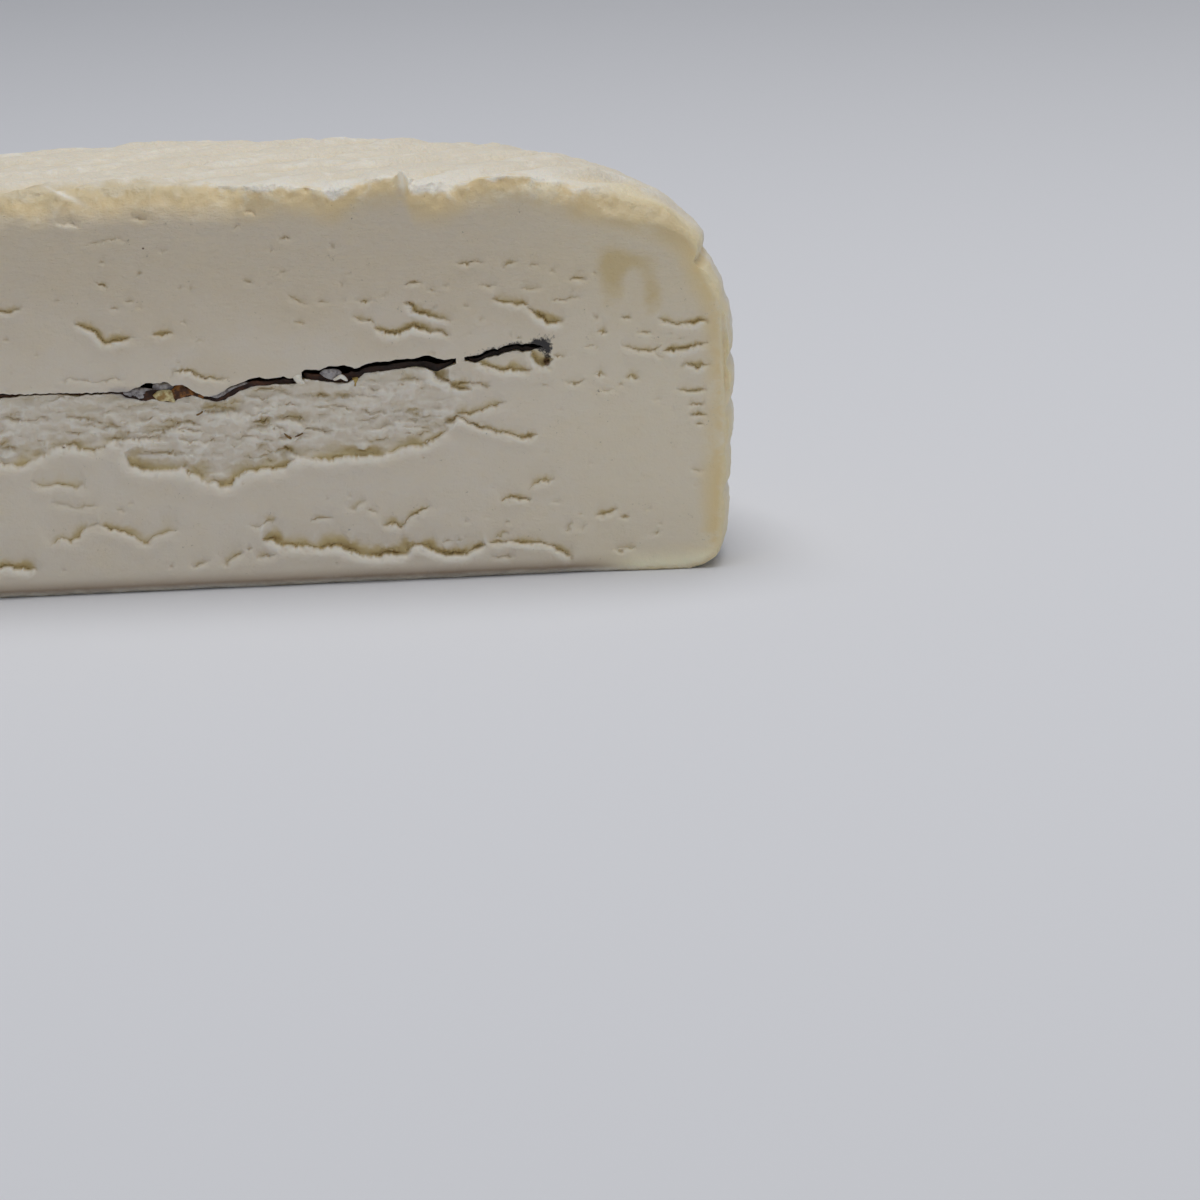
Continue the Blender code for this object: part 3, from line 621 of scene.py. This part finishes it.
# A table blurred by a bell of the given width, through its frequencies.
def blurred(table, width):
    rows, columns = table.shape
    margin = 40
    padded = np.pad(table, margin, mode="edge")
    across = np.fft.rfftfreq(padded.shape[1])[None, :]
    down = np.fft.fftfreq(padded.shape[0])[:, None]
    keep = np.exp(-2 * (math.pi * width) ** 2 * (across ** 2 + down ** 2))
    soft = np.fft.irfft2(np.fft.rfft2(padded) * keep, padded.shape)
    return soft[margin:margin + rows, margin:margin + columns]


# Over the whole face: its relief, how hollow each place is beside those round it, and how far
# it stands out from them.
faceX = np.arange(-59.5, 59.5 + face["step"], face["step"])
faceZ = np.arange(-2.5, 44.5 + face["step"], face["step"])
faceTable, tornTable = faceRelief(faceX, faceZ)
hollowTable = faceTable - blurred(faceTable, 1.2 / face["step"])
# in the torn hollow the hollows count for less, so its painted shade is weaker there
hollowTable = hollowTable * (1 - 0.45 * tornTable * (hollowTable > 0))
# the lips' field is raised a little over the torn hollow, so the painted highlight whitens it too
lipTable = blurred(faceTable, 0.45 / face["step"]) - faceTable + 0.12 * tornTable


# A table of the face's grid, read at any x and z.
def onFace(table, x, z):
    return sample(table, (x - faceX[0]) / face["step"], (z - faceZ[0]) / face["step"])


# All that lies in front of the cut face.
def makeFaceKnife():
    x, z = np.meshgrid(faceX, faceZ)
    knife = slab("faceKnife", np.stack([x, cutY + faceTable, z], -1),
                 np.stack([x, np.full(x.shape, cutY - 60), z], -1))
    thinTo(knife, face["triangles"])
    return knife


# The leaf and its slot

leafSheet = {
    "radius": 38.4,          # margin of the leaf, from the wheel's axis
    "thickness": 0.28,
    "level": 20.4,           # height of the slot's middle at the wheel's axis
    "step": 0.17 if fine else 0.45,
    "slotTriangles": 32000 if fine else 8000,
    "setBack": 0.3,          # how far the leaf's cut edge lies behind the cut face
    "halfGap": 0.3,          # half the slot's height inside
    "slotWider": 0.12,       # on the right the slot is this much higher and lower at the cut
    "bridges": [(13.75, 0.3), (29.85, 0.4), (-24.5, 0.5)],   # paste that joins across the slot
}


# Lower and upper face of the slot: the edges seen on the cut, ragged, changing over the first
# stretch into a shallow dish with ripples.
def slotFaces(x, y):
    bowl = (x * x + (y - axisY) ** 2 - wheel["cutOffset"] ** 2) / 680.0
    fold = -1.0 * bell(x, 5.0, 1.8) - 0.9 * bell(x, -1.6, 1.9)
    ripple = 0.22 * np.sin(x / 3.1 + y / 6.0) * np.cos(y / 4.3)
    inner = leafSheet["level"] + bowl + 0.02 * x + fold + ripple
    mouth = smoothStep(8, 1.5, y - cutY)
    ragged = 0.07 * cloud(x / 0.7, y / 1.4, 0, 61, 3) + 0.07 * noise(x / 0.3, y / 0.8, 0, 64)
    wider = leafSheet["slotWider"] * smoothStep(2, 8, x)
    half = leafSheet["halfGap"]
    top = along(slotTop, x) + ragged + wider
    bottom = along(slotBottom, x) + 0.8 * ragged - wider
    upper = inner + half + (top - inner - half) * mouth
    return inner - half + (bottom - inner + half) * mouth, upper


# A grid over the leaf's plan, close at the front and pushed back where paste joins across: x and
# y of each point, and how far it is from the margin, 0 there and 1 a millimetre or more inside.
def leafPlan(margin, front, step):
    radius = leafSheet["radius"] + margin
    back = axisY + 0.96 * radius
    rows = np.concatenate([np.arange(front, cutY + 4, step), np.linspace(cutY + 4, back, 34)])
    columns = np.linspace(-1, 1, int(2 * radius / step))
    half = np.sqrt(np.maximum(radius ** 2 - (rows - axisY) ** 2, 0.01))
    x = columns[None, :] * half[:, None]
    y = np.repeat(rows[:, None], len(columns), 1)
    margins = np.minimum(half[:, None] - np.abs(x), back - y)
    bridges = sum(bell(x, middle, width) for middle, width in leafSheet["bridges"])
    y = y + 5.5 * np.minimum(bridges, 1) * smoothStep(7, -1, y - cutY)
    return x, y, smoothStep(-0.05, 1.2, margins)


# The slot as a body: its two faces come together towards the leaf's margin.
def makeSlotKnife():
    x, y, body = leafPlan(0.7, cutY - 2.0, leafSheet["step"])
    bottom, top = slotFaces(x, y)
    middle, half = (top + bottom) / 2, np.maximum((top - bottom) / 2, 0.04) * (0.2 + 0.8 * body)
    knife = slab("slotKnife", np.stack([x, y, middle + half], -1), np.stack([x, y, middle - half], -1))
    thinTo(knife, leafSheet["slotTriangles"])
    return knife


# The leaf: a thin sheet that lies on the slot's floor, folded thicker at its torn front,
# with raised veins.
def makeLeaf():
    x, y, body = leafPlan(0.0, cutY + leafSheet["setBack"], leafSheet["step"])
    y = y + 0.7 * (0.5 + 0.5 * cloud(x / 1.3, 0, 0, 71, 3)) * smoothStep(3, 0, y - cutY)
    bottom, top = slotFaces(x, y)
    vein = 0.05 * bell(np.abs(noise(x / 3.0, y / 6.0, 0, 72)), 0, 0.12)
    folded = smoothStep(3.5, 0.5, y - cutY)
    thick = leafSheet["thickness"] + (0.5 * (top - bottom) - leafSheet["thickness"]) * folded
    thick = np.clip(thick + 0.12 * cloud(x / 0.9, y / 2.0, 0, 73, 3) * folded, 0.08, None)
    lower = np.stack([x, y, bottom + 0.03], -1)
    upper = np.stack([x, y, bottom + 0.03 + (thick + vein) * (0.35 + 0.65 * body)], -1)
    return slab("leaf_sheet", upper, lower)


# A small flat scrap with this outline on the cut face: points (x, z), smoothly joined. Rings
# run from its middle to its rim, and its front bulges and is rough.
def makeScrap(name, outline, back, bulge, thick, rough, seed):
    loop = smoothCurve(outline + outline[:1], 0.08)[:-1]
    middle = loop.mean(0)
    rings = np.linspace(0.02, 1, 14)[:, None, None]
    place = middle + (loop - middle) * rings
    x, z = place[..., 0], place[..., 1]
    edge = 1 - rings[..., 0] ** 3
    bump = rough * cloud(x / 0.45, z / 0.45, 0, seed, 3)
    if back is None:
        back = onFace(faceTable, x, z) - 0.02
    front = cutY + back - bulge * edge + bump
    rear = front + thick * (0.3 + 0.7 * edge)
    piece = slab(name, np.stack([x, front, z], -1), np.stack([x, rear, z], -1), True, 0.001)
    piece.data.shade_smooth()
    return piece


# One body less another.
def cutAway(piece, knife):
    cut = piece.modifiers.new("cut", "BOOLEAN")
    cut.operation = "DIFFERENCE"
    cut.solver = "MANIFOLD"
    cut.object = knife
    applyModifiers(piece)
    bpy.data.objects.remove(knife)


# Smooth shading, but for edges sharper than an angle.
def smooth(piece, degrees):
    piece.data.shade_smooth()
    piece.data.set_sharp_from_angle(angle=math.radians(degrees))


# Numbers on the cheese's points for its material: depth under the rind, hollows and lips of the
# face, valleys between the rind's ridges and ribs, and height over the leaf.
def cheeseFields(piece):
    x, y, z = pointsOf(piece).T
    top = smoothStep(0.62, 0.8, z / wheel["height"])
    wall = ribGroove(x, y, z) / wheel["ribDepth"]
    valley = top * (0.5 - 0.5 * topRidge(x, y) / wheel["ridgeHeight"]) + (1 - top) * wall
    inward = inwardAt(x, y, z)
    overLeaf = z - (along(slotTop, x) + along(slotBottom, x)) / 2
    onCut = smoothStep(0.4, 0.1, np.abs(y - cutY - onFace(faceTable, x, z)))
    inSlot = (1 - onCut) * (np.abs(overLeaf) < 2.5) * (inward > 1.5)
    addField(piece, "inward", inward)
    # the slot's inner walls get half a hollow, so the material paints shade on them
    addField(piece, "hollow", onFace(hollowTable, x, z) * onCut + 0.5 * inSlot)
    addField(piece, "lip", onFace(lipTable, x, z) * onCut)
    addField(piece, "valley", valley)
    addField(piece, "overLeaf", overLeaf)


# Materials

# One value in a material. Arithmetic on it adds maths nodes, and node() adds any other.
class Paint:
    def __init__(self, tree, socket=None):
        self.tree = tree
        self.socket = socket

    def node(self, kind, settings, inputs, output=0):
        made = self.tree.nodes.new(kind)
        for key, value in settings.items():
            setattr(made, key, value)
        for key, value in inputs.items():
            if isinstance(value, Paint):
                self.tree.links.new(value.socket, made.inputs[key])
            else:
                made.inputs[key].default_value = value
        return Paint(self.tree, made.outputs[output])

    def maths(self, operation, *values):
        return self.node("ShaderNodeMath", {"operation": operation}, dict(enumerate(values)))

    def __add__(self, other):
        return self.maths("ADD", self, other)

    def __sub__(self, other):
        return self.maths("SUBTRACT", self, other)

    def __mul__(self, other):
        return self.maths("MULTIPLY", self, other)

    def __truediv__(self, other):
        return self.maths("DIVIDE", self, other)

    def __pow__(self, other):
        return self.maths("POWER", self, other)

    def __rsub__(self, other):
        return self.maths("SUBTRACT", other, self)

    def __rpow__(self, other):
        return self.maths("POWER", other, self)

    def __neg__(self):
        return self * -1

    __radd__ = __add__
    __rmul__ = __mul__

    # 0 at low and 1 at high, with soft ends.
    def step(self, low, high):
        inputs = {0: self, 1: low, 2: high, 3: 0, 4: 1}
        return self.node("ShaderNodeMapRange", {"interpolation_type": "SMOOTHSTEP"}, inputs)

    # Between two colours, by this value.
    def mix(self, first, second):
        inputs = {0: self, 6: first, 7: second}
        return self.node("ShaderNodeMix", {"data_type": "RGBA", "clamp_factor": True}, inputs, 2)

    # Noise from 0 to 1 on the object's own coordinates, stretched by three scales per millimetre.
    def grain(self, scales, detail=3, rough=0.55):
        place = self.node("ShaderNodeTexCoord", {}, {}, 3)
        inputs = {0: place, 1: tuple(1000.0 * scale for scale in scales)}
        place = self.node("ShaderNodeVectorMath", {"operation": "MULTIPLY"}, inputs)
        inputs = {"Vector": place, "Scale": 1.0, "Detail": detail, "Roughness": rough}
        return self.node("ShaderNodeTexNoise", {}, inputs)

    # The object's own x, y and z in millimetres.
    def place(self):
        where = self.node("ShaderNodeTexCoord", {}, {}, 3)
        return [self.node("ShaderNodeSeparateXYZ", {}, {0: where}, axis) * 1000.0 for axis in range(3)]

    # A bell of height 1 about the middle.
    def bell(self, middle, width):
        return 2.718 ** -(((self - middle) / width) ** 2)

    # A number that the mesh carries on its points.
    def field(self, name):
        return self.node("ShaderNodeAttribute", {"attribute_name": name}, {}, 2)

    # A height in the surface that only its shading shows, at most this many millimetres.
    def bump(self, height, distance):
        return self.node("ShaderNodeBump", {}, {"Height": height, "Distance": distance * mm, "Strength": 1})


# A display colour as the linear one that materials use.
def colour(red, green, blue):
    shares = [c / 255 for c in (red, green, blue)]
    linear = [c / 12.92 if c < 0.04045 else ((c + 0.055) / 1.055) ** 2.4 for c in shares]
    return (*linear, 1)


# A new material, and the paint to build it with.
def newMaterial(name):
    material = bpy.data.materials.new(name)
    material.use_nodes = True
    material.node_tree.nodes.clear()
    return material, Paint(material.node_tree)


# The material's surface shader, with these inputs.
def closeMaterial(material, paint, inputs):
    surface = paint.node("ShaderNodeBsdfPrincipled", {}, inputs)
    output = paint.tree.nodes.new("ShaderNodeOutputMaterial")
    paint.tree.links.new(surface.socket, output.inputs[0])
    return material


cheeseLook = {
    "paste": colour(226, 217, 202),
    # painted shade: the face a little darker towards its top
    "upper": colour(219, 207, 187),
    # painted highlight for lips that stand out from the face
    "lip": colour(238, 234, 224),
    "creamline": colour(230, 209, 160),
    "topCream": colour(222, 201, 158),
    # cream darkened as painted shade where the rim slopes forward out of the light
    "shadeCream": colour(206, 189, 151),
    "paleCream": colour(234, 222, 192),
    # painted light: creamline brightened at the right end of the foot, as by light bounced from below
    "footBounceLight": colour(252, 244, 214),
    "arch": colour(211, 189, 137),
    # painted shade along the foot of the cut face
    "foot": colour(146, 117, 90),
    "rind": colour(225, 217, 201),
    "bloom": colour(240, 238, 231),
    "groove": colour(228, 211, 178),
    "wallCream": colour(234, 218, 176),
    # painted shade for the hollows: olive in cracks, browner where deepest
    "crack": colour(214, 194, 136),
    "deep": colour(198, 154, 74),
    "stain": colour(152, 147, 150),
    "mould": colour(22, 23, 34),
    # dark brown for specks and a patch at the leaf's end, and painted shade along the face's bottom edge
    "darkBrown": colour(96, 62, 36),
    "roughness": 0.5,
    "soft": 0.3,             # how much light goes into the paste
    "softReach": 1.0,        # and how far, in millimetres
}


# A colour with others laid over it one by one, each by its own amount.
def layered(base, layers):
    for amount, tint in layers:
        base = amount.mix(base, tint)
    return base


# The cut face has white paste, cream under the rind, cracks and mould, with painted shade in its
# cracks, towards its top and along its foot, painted highlight on the lips of its cracks and
# painted light bounced up under its right foot. The rind has bloom, and cream in its grooves.
def cheeseMaterial():
    material, p = newMaterial("goat_cheese")
    look = cheeseLook
    x, y, z = p.place()
    back = y - cutY
    inward, hollow = p.field("inward"), p.field("hollow")
    lip, valley, overLeaf = p.field("lip"), p.field("valley"), p.field("overLeaf")
    blotch = p.grain((0.13, 0.13, 0.2)) - 0.5
    spots = p.grain((0.5, 0.5, 0.7), 4, 0.65) - 0.5
    specks = p.grain((3, 3, 3), 4, 0.7)
    grit = p.grain((1.6, 1.6, 1.6)) - 0.5
    humps = p.grain((0.3, 0.03, 0.03), 1, 0.4) - 0.5

    # a soft patch on the face: its middle and its widths
    def patch(middleX, middleZ, wideX, wideZ):
        return x.bell(middleX, wideX) * z.bell(middleZ, wideZ)

    high = z.step(31, 36.5)
    left, right = 1 - x.step(3, 14), x.step(40, 47)
    front = 1 - (back - left * 2).step(1.2, 3.6)
    shift = spots * (0.5 + high * 0.9) + high * (blotch * 1.6 + humps * 2.6 + 0.3)
    onCut = (inward + front * shift).step(0.2, 0.8)
    # the creamline under the rind, and the darker foot: painted shade, brown along the face's bottom edge
    reach = inward + blotch * (1.2 + high * 1.4) + spots * (0.7 + high * 0.6) + high * humps * 1.6
    cream = 1 - reach.step(0.3 + high * 0.4, 3.2 + high * 0.5)
    cream = cream * (1 - 0.9 * (1 - z.step(2, 5.5)) * (1 - right))
    pale = spots * 1.6 + blotch * 2.4 + (1 - z.step(8, 25)) * 0.35
    edge = layered(high.mix(look["creamline"], look["topCream"]), [
        (pale.step(0, 0.6), look["paleCream"]),
        # painted light bounced up onto the cream at the right end of the foot
        ((1 - (z + spots).step(0.9, 3.1)) * right, look["footBounceLight"]),
    ])
    arch = patch(45.3, 30, 1.4, 3) + patch(49.1, 28.3, 1.2, 2.5) * 0.8
    arch = arch + patch(46.9, 31.3, 2.2, 1.2) * 0.8 + spots * 0.9 - patch(47.2, 27.6, 0.8, 2.4) * 0.4
    # mould from the leaf: grey beside it, dark specks at its end
    beside = x.bell(-2.6, 3) + x.bell(6, 1.6) * 0.8 + x.bell(34.5, 3.2) * 0.6
    stain = overLeaf.bell(0, 0.75) * beside * 0.9 + spots * 0.8
    tip = patch(37.9, 23.4, 1.05, 0.75) + patch(38.5, 22.4, 0.5, 1.1)
    line = overLeaf.bell(0.2, 0.42) * x.step(30, 33) * (1 - x.step(37.5, 38.2))
    tip = tip * 1.1 + line * 0.8 + (specks - 0.5) * 2.4 + spots * 1.5
    darkBrown = patch(38.4, 21.5, 0.45, 0.45) + spots * 0.8
    # painted shade darkens the face towards its top; the cracks get painted shade, olive and darker where
    # deepest, and their lips a painted highlight
    paste = layered((z + blotch * 12).step(19, 32).mix(look["paste"], look["upper"]), [
        ((spots + blotch) * 0.3 + 0.06, look["creamline"]),
        (x.step(26, 50) * 0.35, look["paleCream"]),
        (cream, edge),
        # painted shade: brown along the face's bottom edge, darkest in its lowest millimetre
        ((1 - z.step(0, 2)) * (1 - right) * 0.85, look["foot"]),
        ((1 - z.step(0.2, 1.1)) * (1 - right) * 0.6, look["darkBrown"]),
        (arch.step(0.1, 1.05) * 0.75, look["arch"]),
        # painted highlight on the lips that stand out from the face
        ((lip + spots * 0.25).step(0.04, 0.34) * 0.7, look["lip"]),
        # painted shade in the hollows, olive, and browner where deepest
        (hollow.step(0.05, 0.6) * 0.75, look["crack"]),
        (hollow.step(0.7, 1.4) * 0.45, look["deep"]),
        (stain.step(0.15, 0.9) * 0.7, look["stain"]),
        (tip.step(0.4, 1.1) * onCut * 0.95, look["mould"]),
        (darkBrown.step(0.3, 0.8) * 0.85, look["darkBrown"]),
    ])
    # the rind: white bloom, and cream in its grooves and beside the cut
    groove = (valley * 1.15 - 0.3 + blotch * 1.5 + spots * 0.6).step(0.1, 1)
    white = (spots + blotch).step(-0.05, 0.35)
    behind = 1 - (back + spots * 6 + blotch * 4).step(0.8, 5.5)
    wall = (1 - (back + spots * 5).step(1.5, 9)) * x.step(41, 49)
    rind = layered((white * 0.75).mix(look["rind"], look["bloom"]), [
        (groove * 0.7, look["groove"]),
        (behind * high * (white * 0.4 + 0.6), look["bloom"]),
        (wall * (0.85 - white * 0.3), look["wallCream"]),
    ])
    # on the left the creamline rounds over the edge, with a white streak in it; there and at the top right
    # its cream is darker, painted shade where the rim slopes forward out of the light
    seen = z + back * 0.19
    creamShadeBand = left * (seen + blotch * 2 + spots).step(38.9, 40.5)
    creamShadeBand = creamShadeBand * (1 - (seen + (x + 4) * 0.1 + humps * 4.5 + spots).step(40.6, 42.4))
    creamShadeBand = creamShadeBand * (1 - (back - x.step(-16, -9) * 6).step(2.5, 6))
    creamShadeBand = creamShadeBand + x.step(41, 48) * high * (1 - reach.step(0.8, 3)) * front
    streak = (seen + (x + 10) * 0.6 + spots).bell(41.4, 0.4) * x.bell(-9, 2.2) * front
    dots = patch(-0.9, 34.7, 0.14, 0.12) + x.bell(-4.8, 0.15) * back.bell(15.7, 0.4)
    base = layered(onCut.mix(rind, paste), [
        (creamShadeBand * 0.75, look["shadeCream"]),
        (streak * 0.8, look["bloom"]),
        (dots.step(0.3, 0.7) * 0.85, look["darkBrown"]),
    ])
    wrinkles = p.grain((0.7, 0.7, 1.9), 4, 0.65) * onCut * (1 - cream) * (z.step(24, 33) * 1.4 + 0.5)
    height = grit * (0.5 + (1 - onCut) * 1.1) + p.grain((5, 5, 5), 2) * 0.3 + wrinkles
    return closeMaterial(material, p, {
        "Base Color": base,
        "Roughness": look["roughness"],
        "Normal": p.bump(height, 0.14),
        "Subsurface Weight": look["soft"],
        "Subsurface Radius": (1, 0.8, 0.55),
        "Subsurface Scale": look["softReach"] * mm,
        "Specular IOR Level": 0.35,
    })


leafLook = {
    "dark": colour(40, 21, 12),
    "lit": colour(86, 50, 25),
    "shade": colour(16, 10, 8),
    "roughness": 0.75,
}


# Two browns in blotches, a dark one and a lit one as painted light; painted shade darkens the leaf towards
# its right end.
def leafMaterial():
    material, p = newMaterial("leaf_brown")
    blotch = p.grain((0.7, 0.7, 1.2), 4, 0.65)
    base = blotch.step(0.4, 0.7).mix(leafLook["dark"], leafLook["lit"])
    rightShade = (p.place()[0] + blotch * 8).step(18, 30) * 0.75
    return closeMaterial(material, p, {
        "Base Color": rightShade.mix(base, leafLook["shade"]),
        "Roughness": leafLook["roughness"],
        "Normal": p.bump(p.grain((2, 2, 4)), 0.12),
    })


# Two colours in blotches, for the scraps in and round the slot.
def scrapMaterial(name, first, second, scale, soft):
    material, p = newMaterial(name)
    base = p.grain((scale, scale, scale), 3, 0.6).step(0.4, 0.62).mix(first, second)
    return closeMaterial(material, p, {
        "Base Color": base,
        "Roughness": 0.55,
        "Normal": p.bump(p.grain((3, 3, 3)), 0.12),
        "Subsurface Weight": soft,
        "Subsurface Radius": (1, 0.8, 0.55),
        "Subsurface Scale": 0.6 * mm,
    })


# One material for all of a piece.
def setMaterial(piece, material):
    piece.data.materials.clear()
    piece.data.materials.append(material)


# The cheese

body = makeWheel()
print("wheel", len(body.data.polygons))
cutAway(body, makeFaceKnife())
print("face cut", len(body.data.polygons))
cutAway(body, makeSlotKnife())
print("slot cut", len(body.data.polygons))
weld(body, 0.004)
smooth(body, 55)
cheeseFields(body)
setMaterial(body, cheeseMaterial())
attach(body, "root")
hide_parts("cheese_half")

# Finishes of the scraps: name, two colours, how fine their blotches are, how soft.
mould = ("mould_grey", colour(176, 172, 172), colour(120, 114, 116), 1.6, 0.2)
curl = ("leaf_curl", colour(74, 42, 18), colour(150, 98, 42), 1.3, 0)
palePatch = ("leaf_pale", colour(222, 208, 158), colour(158, 126, 70), 1.1, 0.2)
white = ("paste_white", colour(236, 232, 222), colour(226, 220, 206), 1, 0.3)
yellow = ("leaf_yellow", colour(186, 160, 92), colour(150, 118, 54), 1.4, 0.2)
bristle = ("bristle_brown", colour(134, 102, 52), colour(92, 64, 30), 1.5, 0)

# Scraps: name, finish, how far behind the cut or None to lie on the face, bulge, thickness,
# roughness, and outline (x, z).
scraps = [
    ("mould_film", mould, 0.75, 0.25, 0.2, 0.16,
     [(-4, 20.3), (-3.2, 20.6), (-2.2, 20.7), (-0.9, 20.5), (-1, 20), (-1.5, 19.4), (-2.5, 19.6),
      (-3.6, 19.95)]),
    ("mould_film", mould, 0.9, 0.2, 0.2, 0.16,
     [(-0.9, 20.6), (-0.6, 21.2), (0, 21), (0.8, 21.1), (1.25, 20.7), (1.1, 20.3), (0.2, 20.3), (-0.7, 20)]),
    ("mould_film", mould, 0.7, 0.15, 0.2, 0.12,
     [(4.5, 19.6), (5.2, 19.9), (6.1, 20.1), (7.4, 20.5), (8.3, 20.75), (8.9, 20.7), (7.6, 20.3),
      (6.6, 19.8), (5.6, 19.3)]),
    ("leaf_curl", curl, 0.5, 0.3, 0.2, 0.22,
     [(1, 20.3), (1.6, 20.8), (2.3, 20.85), (2.9, 20.4), (3.5, 20), (4.2, 19.6), (4, 19.4), (3.2, 19.7),
      (2.6, 19.7), (1.9, 19.45), (1.1, 19.5)]),
    ("leaf_pale", palePatch, 0.55, 0.35, 0.2, 0.1,
     [(-0.9, 19.9), (-0.3, 20.3), (0.5, 20.4), (1, 20.3), (1.25, 19.7), (1.3, 19.1), (0.5, 19.25),
      (-0.3, 19.3)]),
    ("mould_tuft", mould, 0.35, 0.3, 0.25, 0.25,
     [(15.8, 21.4), (16.2, 21.7), (16.9, 21.75), (17.7, 21.65), (18, 21.3), (17.6, 20.95), (17, 20.7),
      (16.3, 20.95)]),
    ("paste_strip", white, 0.1, 0.3, 0.25, 0.05,
     [(17.1, 20.75), (17.5, 21), (17.9, 21.2), (18.3, 21.05), (18.6, 20.6), (18.45, 20.5), (18.1, 20.8),
      (17.7, 20.75), (17.3, 20.6)]),
    ("paste_bridge", white, -0.05, 0.25, 0.6, 0.05,
     [(13.2, 21.1), (13.5, 21.35), (13.9, 21.35), (14.1, 20.9), (14.3, 20.5), (13.9, 20.4), (13.6, 20.6),
      (13.3, 20.8)]),
    ("leaf_drop", yellow, 0.55, 0.25, 0.15, 0.05,
     [(19, 20.75), (19.6, 20.75), (19.5, 20.2), (19.35, 19.8), (19.2, 19.75), (19.15, 20.2)]),
]
bristles = [
    [(11.95, 15.5), (12.1, 15.48), (12.4, 15.2), (12.7, 15), (12.62, 14.85), (12.3, 15), (12.05, 15.25)],
    [(13, 15.02), (13.08, 15.16), (13.4, 15.28), (13.75, 15.42), (13.82, 15.3), (13.45, 15.12)],
    [(3.3, 17.68), (3.45, 17.82), (3.7, 17.9), (3.95, 18.1), (4.05, 17.98), (3.75, 17.75), (3.5, 17.62)],
]
scraps += [("leaf_bristle", bristle, None, 0.12, 0.15, 0.02, outline) for outline in bristles]
for number, (name, look, back, bulge, thick, rough, outline) in enumerate(scraps):
    scrap = makeScrap(f"{name}_{number}", outline, back, bulge, thick, rough, 80 + number)
    setMaterial(scrap, bpy.data.materials.get(look[0]) or scrapMaterial(*look))
    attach(scrap, "root")
    "leaf" if "leaf" in name else "cheese"
print("scraps", len(scraps))

leaf = makeLeaf()
smooth(leaf, 50)
setMaterial(leaf, leafMaterial())
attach(leaf, "root")
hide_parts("leaf")
print("pieces", len(body.data.polygons), len(leaf.data.polygons))


# Floor, light and camera

studio = {
    "floor": colour(222, 224, 231),
    "floorFront": -1500,
    "floorDepth": 1400,      # how far back the floor starts to turn up
    "floorBend": 500,        # radius of that turn
    "floorWidth": 2400,      # half of it
    "wall": 900,
    "overhead": 4.1,         # watts of the big lamp above, and of the one in front
    "fill": 0.55,
    "world": 0.27,
    "worldTint": (0.96, 0.98, 1, 1),
}


# The floor runs back and turns up into a wall through a quarter circle.
def makeFloor():
    turn = np.linspace(0, math.pi / 2, 24)
    front, bend, radius = studio["floorFront"], studio["floorDepth"], studio["floorBend"]
    y = np.concatenate([[front], bend + radius * np.sin(turn), [bend + radius]])
    z = np.concatenate([[0.0], radius * (1 - np.cos(turn)), [radius + studio["wall"]]])
    x = np.linspace(-studio["floorWidth"], studio["floorWidth"], 9)
    points = np.stack(np.broadcast_arrays(x, y[:, None], z[:, None]), -1)
    floor = meshPiece("floor", points.reshape(-1, 3), gridFaces(len(y), len(x)).tolist())
    material, p = newMaterial("floor_pale")
    setMaterial(floor, closeMaterial(material, p, {"Base Color": studio["floor"], "Roughness": 0.9}))
    floor.data.shade_smooth()


# A soft rectangular lamp that looks at the cheese.
def makeLamp(name, place, size, power, tint):
    light = bpy.data.lights.new(name, "AREA")
    light.shape = "RECTANGLE"
    light.size, light.size_y = size[0] * mm, size[1] * mm
    light.energy = power
    light.color = tint
    lamp = bpy.data.objects.new(name, light)
    bpy.context.scene.collection.objects.link(lamp)
    lamp.location = [c * mm for c in place]
    away = lamp.location.normalized()
    lamp.rotation_euler = away.to_track_quat("Z", "Y").to_euler()


# The camera looks as the photo's does: a little down, level but for a small roll.
camera = {
    "distance": 600.0,
    "elevation": 11.0,
    "roll": 2.6,
    "target": (42.62, cutY, -2.75),
    "field": 120.0,          # width of the view at the cut face
    "sensor": 36.0,
}


# The camera stands back from its target along its line of sight, turned by its roll.
def makeCamera():
    tilt, roll = math.radians(camera["elevation"]), math.radians(camera["roll"])
    ahead = np.array([0, math.cos(tilt), -math.sin(tilt)])
    level, upright = np.array([1.0, 0, 0]), np.array([0, math.sin(tilt), math.cos(tilt)])
    right = level * math.cos(roll) - upright * math.sin(roll)
    up = level * math.sin(roll) + upright * math.cos(roll)
    place = (np.array(camera["target"]) - camera["distance"] * ahead) * mm
    data = bpy.data.cameras.new("camera")
    data.sensor_width = camera["sensor"]
    data.lens = camera["sensor"] * camera["distance"] / camera["field"]
    data.clip_start, data.clip_end = 0.01, 20.0
    view = bpy.data.objects.new("camera", data)
    bpy.context.scene.collection.objects.link(view)
    columns = np.stack([right, up, -ahead, place], 1)
    view.matrix_world = Matrix([*columns.tolist(), [0, 0, 0, 1]])
    bpy.context.scene.camera = view


# Even light from all round.
def makeWorld():
    world = bpy.data.worlds.new("studio")
    world.use_nodes = True
    back = world.node_tree.nodes["Background"]
    back.inputs["Color"].default_value = studio["worldTint"]
    back.inputs["Strength"].default_value = studio["world"]
    bpy.context.scene.world = world


makeFloor()
makeLamp("overhead", (80, 30, 800), (800, 600), studio["overhead"], (1, 0.985, 0.96))
makeLamp("fill", (300, -900, 500), (700, 500), studio["fill"], (1, 1, 1))
makeWorld()
makeCamera()
bpy.context.scene.view_settings.view_transform = "Standard"
bpy.context.scene.view_settings.look = "None"
